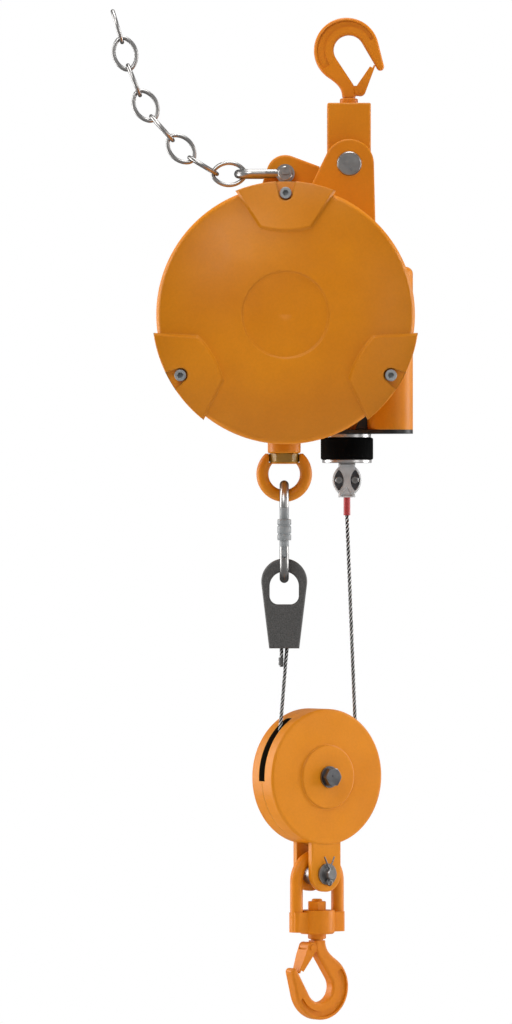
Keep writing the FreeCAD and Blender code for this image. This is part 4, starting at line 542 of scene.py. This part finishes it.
def clamp_details():
    """Recess floors painted dark as shade, and socket screws of the rope stop."""
    low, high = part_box("rope_stop_front")
    centre_x, centre_z = (low[0] + high[0]) / 2, (low[2] + high[2]) / 2
    floor_y = low[1] + 3.0 * MM
    spacing, width, height = 9.1 * MM, 9.9 * MM, 23.2 * MM
    head = [(3.9, 0.0), (3.9, 3.0), (3.5, 3.4), (2.3, 3.4), (2.3, 1.2), (0.4, 1.1)]
    socket_points = (3, 4)
    for number, sign in enumerate((-1, 1), 1):
        x = centre_x + sign * spacing
        at = (x, floor_y - 0.2 * MM, centre_z)
        floor = lens_plate("clamp_recess_shade_%d" % number, at, width, height, RECESS_SHADE)
        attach(floor, "rope_stop")
        screw = turned_piece("clamp_screw_%d" % number, [(r * MM, h * MM) for r, h in head],
                             (x, floor_y - 0.4 * MM, centre_z), (0, -1, 0), STEEL, hexagon=socket_points)
        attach(screw, "rope_stop")


def tail_clip():
    """Small crimped clip on the rope's dead end, beside the live part."""
    socket = middle("wedge_socket")
    x, y, z = socket.x - SOCKET_HALF, socket.y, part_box("rope_tail")[0][2] + 1.5 * MM
    profile = [(1.2, 0), (3.0, 0), (3.4, 0.5), (3.4, 3.2), (2.9, 3.7),
               (2.9, 4.6), (3.4, 5.1), (3.4, 8.2), (3.0, 8.8), (1.2, 8.8)]
    clip = turned_piece("tail_crimp", [(r * MM, h * MM) for r, h in profile], (x, y, z), (0, 0, 1), CAST, 24)
    squeeze, bulge, lean = 0.82, 1.25, 0.5 * MM
    for vert in clip.data.vertices:
        vert.co.y = y + (vert.co.y - y) * bulge
        vert.co.x = x + (vert.co.x - x) * squeeze - lean
    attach(clip, "balancer")
    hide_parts("tail_clip")


def outlet_gap_shade():
    """Black web standing on the bottom plate between the housing and the tower: a dark piece that stands in
    for the shade in the gap there, painted shade.
    """
    foot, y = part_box("bottom_plate")[1][2], middle("worm_spindle").y
    left, right, rise = 12.5 * MM, 20.3 * MM, 14.5 * MM
    flare, chamfer = 6 * MM, 1.5 * MM
    top = foot + rise
    outline = [(left - flare, foot), (right, foot), (right, top), (right - chamfer, top + chamfer),
               (left + chamfer, top + chamfer), (left, top)]
    mid_x, mid_z = (left + right) / 2, foot + rise / 2
    bm = bmesh.new()
    loops = []
    for depth, inset in ((-4 * MM, 0.5 * MM), (-3.5 * MM, 0.0), (3.5 * MM, 0.0), (4 * MM, 0.5 * MM)):
        loops.append([bm.verts.new((x + math.copysign(inset, mid_x - x), y + depth,
                                    z + math.copysign(inset, mid_z - z))) for x, z in outline])
    loft(bm, loops)
    # Black paint here stands for the shade in the gap: painted shade
    web = piece("outlet_gap_shade", bm, BLACK, False)
    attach(web, "balancer")


def shackle_grip():
    """Raised, rounded bar across the shackle pin's head."""
    low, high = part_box("shackle_pin")
    centre = Vector(((low[0] + high[0]) / 2, low[1], (low[2] + high[2]) / 2))
    bm = bmesh.new()
    half_l, half_h, depth, sunk = 4.6 * MM, 1.5 * MM, 1.6 * MM, 0.1 * MM
    steps = 8
    outline = []
    for sign in (1, -1):
        for i in range(steps + 1):
            a = -math.pi / 2 + math.pi * i / steps
            outline.append((sign * (half_l - half_h + half_h * math.cos(a)), sign * half_h * math.sin(a)))
    front = [bm.verts.new(centre + Vector((x * 0.9, -depth, z * 0.8))) for x, z in outline]
    back = [bm.verts.new(centre + Vector((x, sunk, z))) for x, z in outline]
    loft(bm, [front, back])
    bar = piece("shackle_pin_grip", bm, BRIGHT, False)
    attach(bar, "shackle")


# ================================================================================================
# Studio
# ================================================================================================
ROOM_GREY = 0.30            # brightness of the room in reflections
FLOOR_DROP = 0.18           # from the object's foot to the floor, metres
WALL_FOOT, CURVE_R, CURVE_STEPS = 1.2, 0.8, 12
VIEW_HEIGHT = 1.1469        # metres from the bottom to the top of the picture
VIEW_CENTRE = (-0.1046, -0.5372)
CAMERA_DISTANCE = 9.0


def area_light(name, at, target, size, power):
    """Soft white rectangular lamp aimed at a point."""
    data = bpy.data.lights.new(name, "AREA")
    data.shape = "RECTANGLE"
    data.size, data.size_y = size
    data.energy = power
    lamp = bpy.data.objects.new(name, data)
    lamp.location = at
    lamp.rotation_euler = (Vector(target) - Vector(at)).to_track_quat("-Z", "Y").to_euler()
    bpy.context.scene.collection.objects.link(lamp)


def glow(tree, strength):
    """Plain white light of one strength."""
    node = tree.nodes.new("ShaderNodeEmission")
    node.inputs["Color"].default_value = (1, 1, 1, 1)
    node.inputs["Strength"].default_value = strength
    return node.outputs["Emission"]


def backdrop_material():
    """White sweep: the camera sees full white, reflections a greyer room, other light white paint.

    From behind it is clear, so a camera beyond the back wall still sees the object.
    """
    mat = bpy.data.materials.new("backdrop_white")
    mat.use_nodes = True
    tree = mat.node_tree
    tree.nodes.clear()
    out = tree.nodes.new("ShaderNodeOutputMaterial")
    paint = tree.nodes.new("ShaderNodeBsdfDiffuse")
    paint.inputs["Color"].default_value = (0.9, 0.9, 0.9, 1)
    path = tree.nodes.new("ShaderNodeLightPath")
    seen = paint.outputs["BSDF"]
    for ray, strength in (("Is Glossy Ray", ROOM_GREY), ("Is Camera Ray", 1.0)):
        mix = tree.nodes.new("ShaderNodeMixShader")
        tree.links.new(path.outputs[ray], mix.inputs["Fac"])
        tree.links.new(seen, mix.inputs[1])
        tree.links.new(glow(tree, strength), mix.inputs[2])
        seen = mix.outputs["Shader"]
    side = tree.nodes.new("ShaderNodeNewGeometry")
    clear = tree.nodes.new("ShaderNodeBsdfTransparent")
    mix = tree.nodes.new("ShaderNodeMixShader")
    tree.links.new(side.outputs["Backfacing"], mix.inputs["Fac"])
    tree.links.new(seen, mix.inputs[1])
    tree.links.new(clear.outputs["BSDF"], mix.inputs[2])
    tree.links.new(mix.outputs["Shader"], out.inputs["Surface"])
    return mat


def studio(low, high):
    """Floor and back wall in one sweep, soft lamps and an even world."""
    floor_z = low[2] - FLOOR_DROP
    bm = bmesh.new()
    profile = [(-3.0, floor_z), (WALL_FOOT, floor_z)]
    profile += [(WALL_FOOT + CURVE_R * math.sin(a), floor_z + CURVE_R - CURVE_R * math.cos(a))
                for a in (math.pi / 2 * i / CURVE_STEPS for i in range(1, CURVE_STEPS + 1))]
    profile += [(WALL_FOOT + CURVE_R, floor_z + 5.0)]
    rows = [[bm.verts.new((x, y, z)) for x in (-5.0, 5.0)] for y, z in profile]
    for a, b in zip(rows, rows[1:]):
        bm.faces.new((a[0], a[1], b[1], b[0]))
    sweep = piece("studio_sweep", bm, backdrop_material())
    if sweep.data.polygons[0].normal.z < 0:
        sweep.data.flip_normals()

    centre = tuple((a + b) / 2 for a, b in zip(low, high))
    area_light("key", (-1.1, -2.3, 1.3), centre, (1.4, 1.4), 34.0)
    area_light("fill", (1.9, -1.8, -0.2), centre, (1.0, 2.0), 9.0)
    area_light("top", (0.0, 0.0, 1.7), centre, (1.8, 1.2), 34.0)
    area_light("low", (-0.4, -1.4, -2.1), centre, (1.6, 1.0), 4.0)
    area_light("left_rim", (-1.7, 0.35, -0.4), centre, (0.8, 2.2), 30.0)
    area_light("right_rim", (1.7, 0.35, -0.4), centre, (0.8, 2.2), 30.0)

    world = bpy.data.worlds.new("studio_world")
    world.use_nodes = True
    tree = world.node_tree
    dim = tree.nodes["Background"]
    dim.inputs["Color"].default_value = (1, 1, 1, 1)
    dim.inputs["Strength"].default_value = ROOM_GREY
    full = tree.nodes.new("ShaderNodeBackground")
    full.inputs["Color"].default_value = (1, 1, 1, 1)
    path = tree.nodes.new("ShaderNodeLightPath")
    mix = tree.nodes.new("ShaderNodeMixShader")
    tree.links.new(path.outputs["Is Camera Ray"], mix.inputs["Fac"])
    tree.links.new(dim.outputs["Background"], mix.inputs[1])
    tree.links.new(full.outputs["Background"], mix.inputs[2])
    tree.links.new(mix.outputs["Shader"], tree.nodes["World Output"].inputs["Surface"])
    bpy.context.scene.world = world


def camera():
    """Level camera far in front, framed on the object's middle with the height of the view."""
    data = bpy.data.cameras.new("camera")
    data.sensor_fit = "VERTICAL"
    data.sensor_height = 24.0
    data.lens = data.sensor_height * CAMERA_DISTANCE / VIEW_HEIGHT
    data.clip_end = 60.0
    cam = bpy.data.objects.new("camera", data)
    cam.location = (VIEW_CENTRE[0], -CAMERA_DISTANCE - 0.05, VIEW_CENTRE[1])
    cam.rotation_euler = (math.pi / 2, 0, 0)
    bpy.context.scene.collection.objects.link(cam)
    bpy.context.scene.camera = cam


dress_nodes()
shade_slot()
build_ropes()
clamp_details()
tail_clip()
outlet_gap_shade()
shackle_grip()
studio(*CAD_BOX)
camera()
bpy.context.scene.view_settings.view_transform = "Standard"
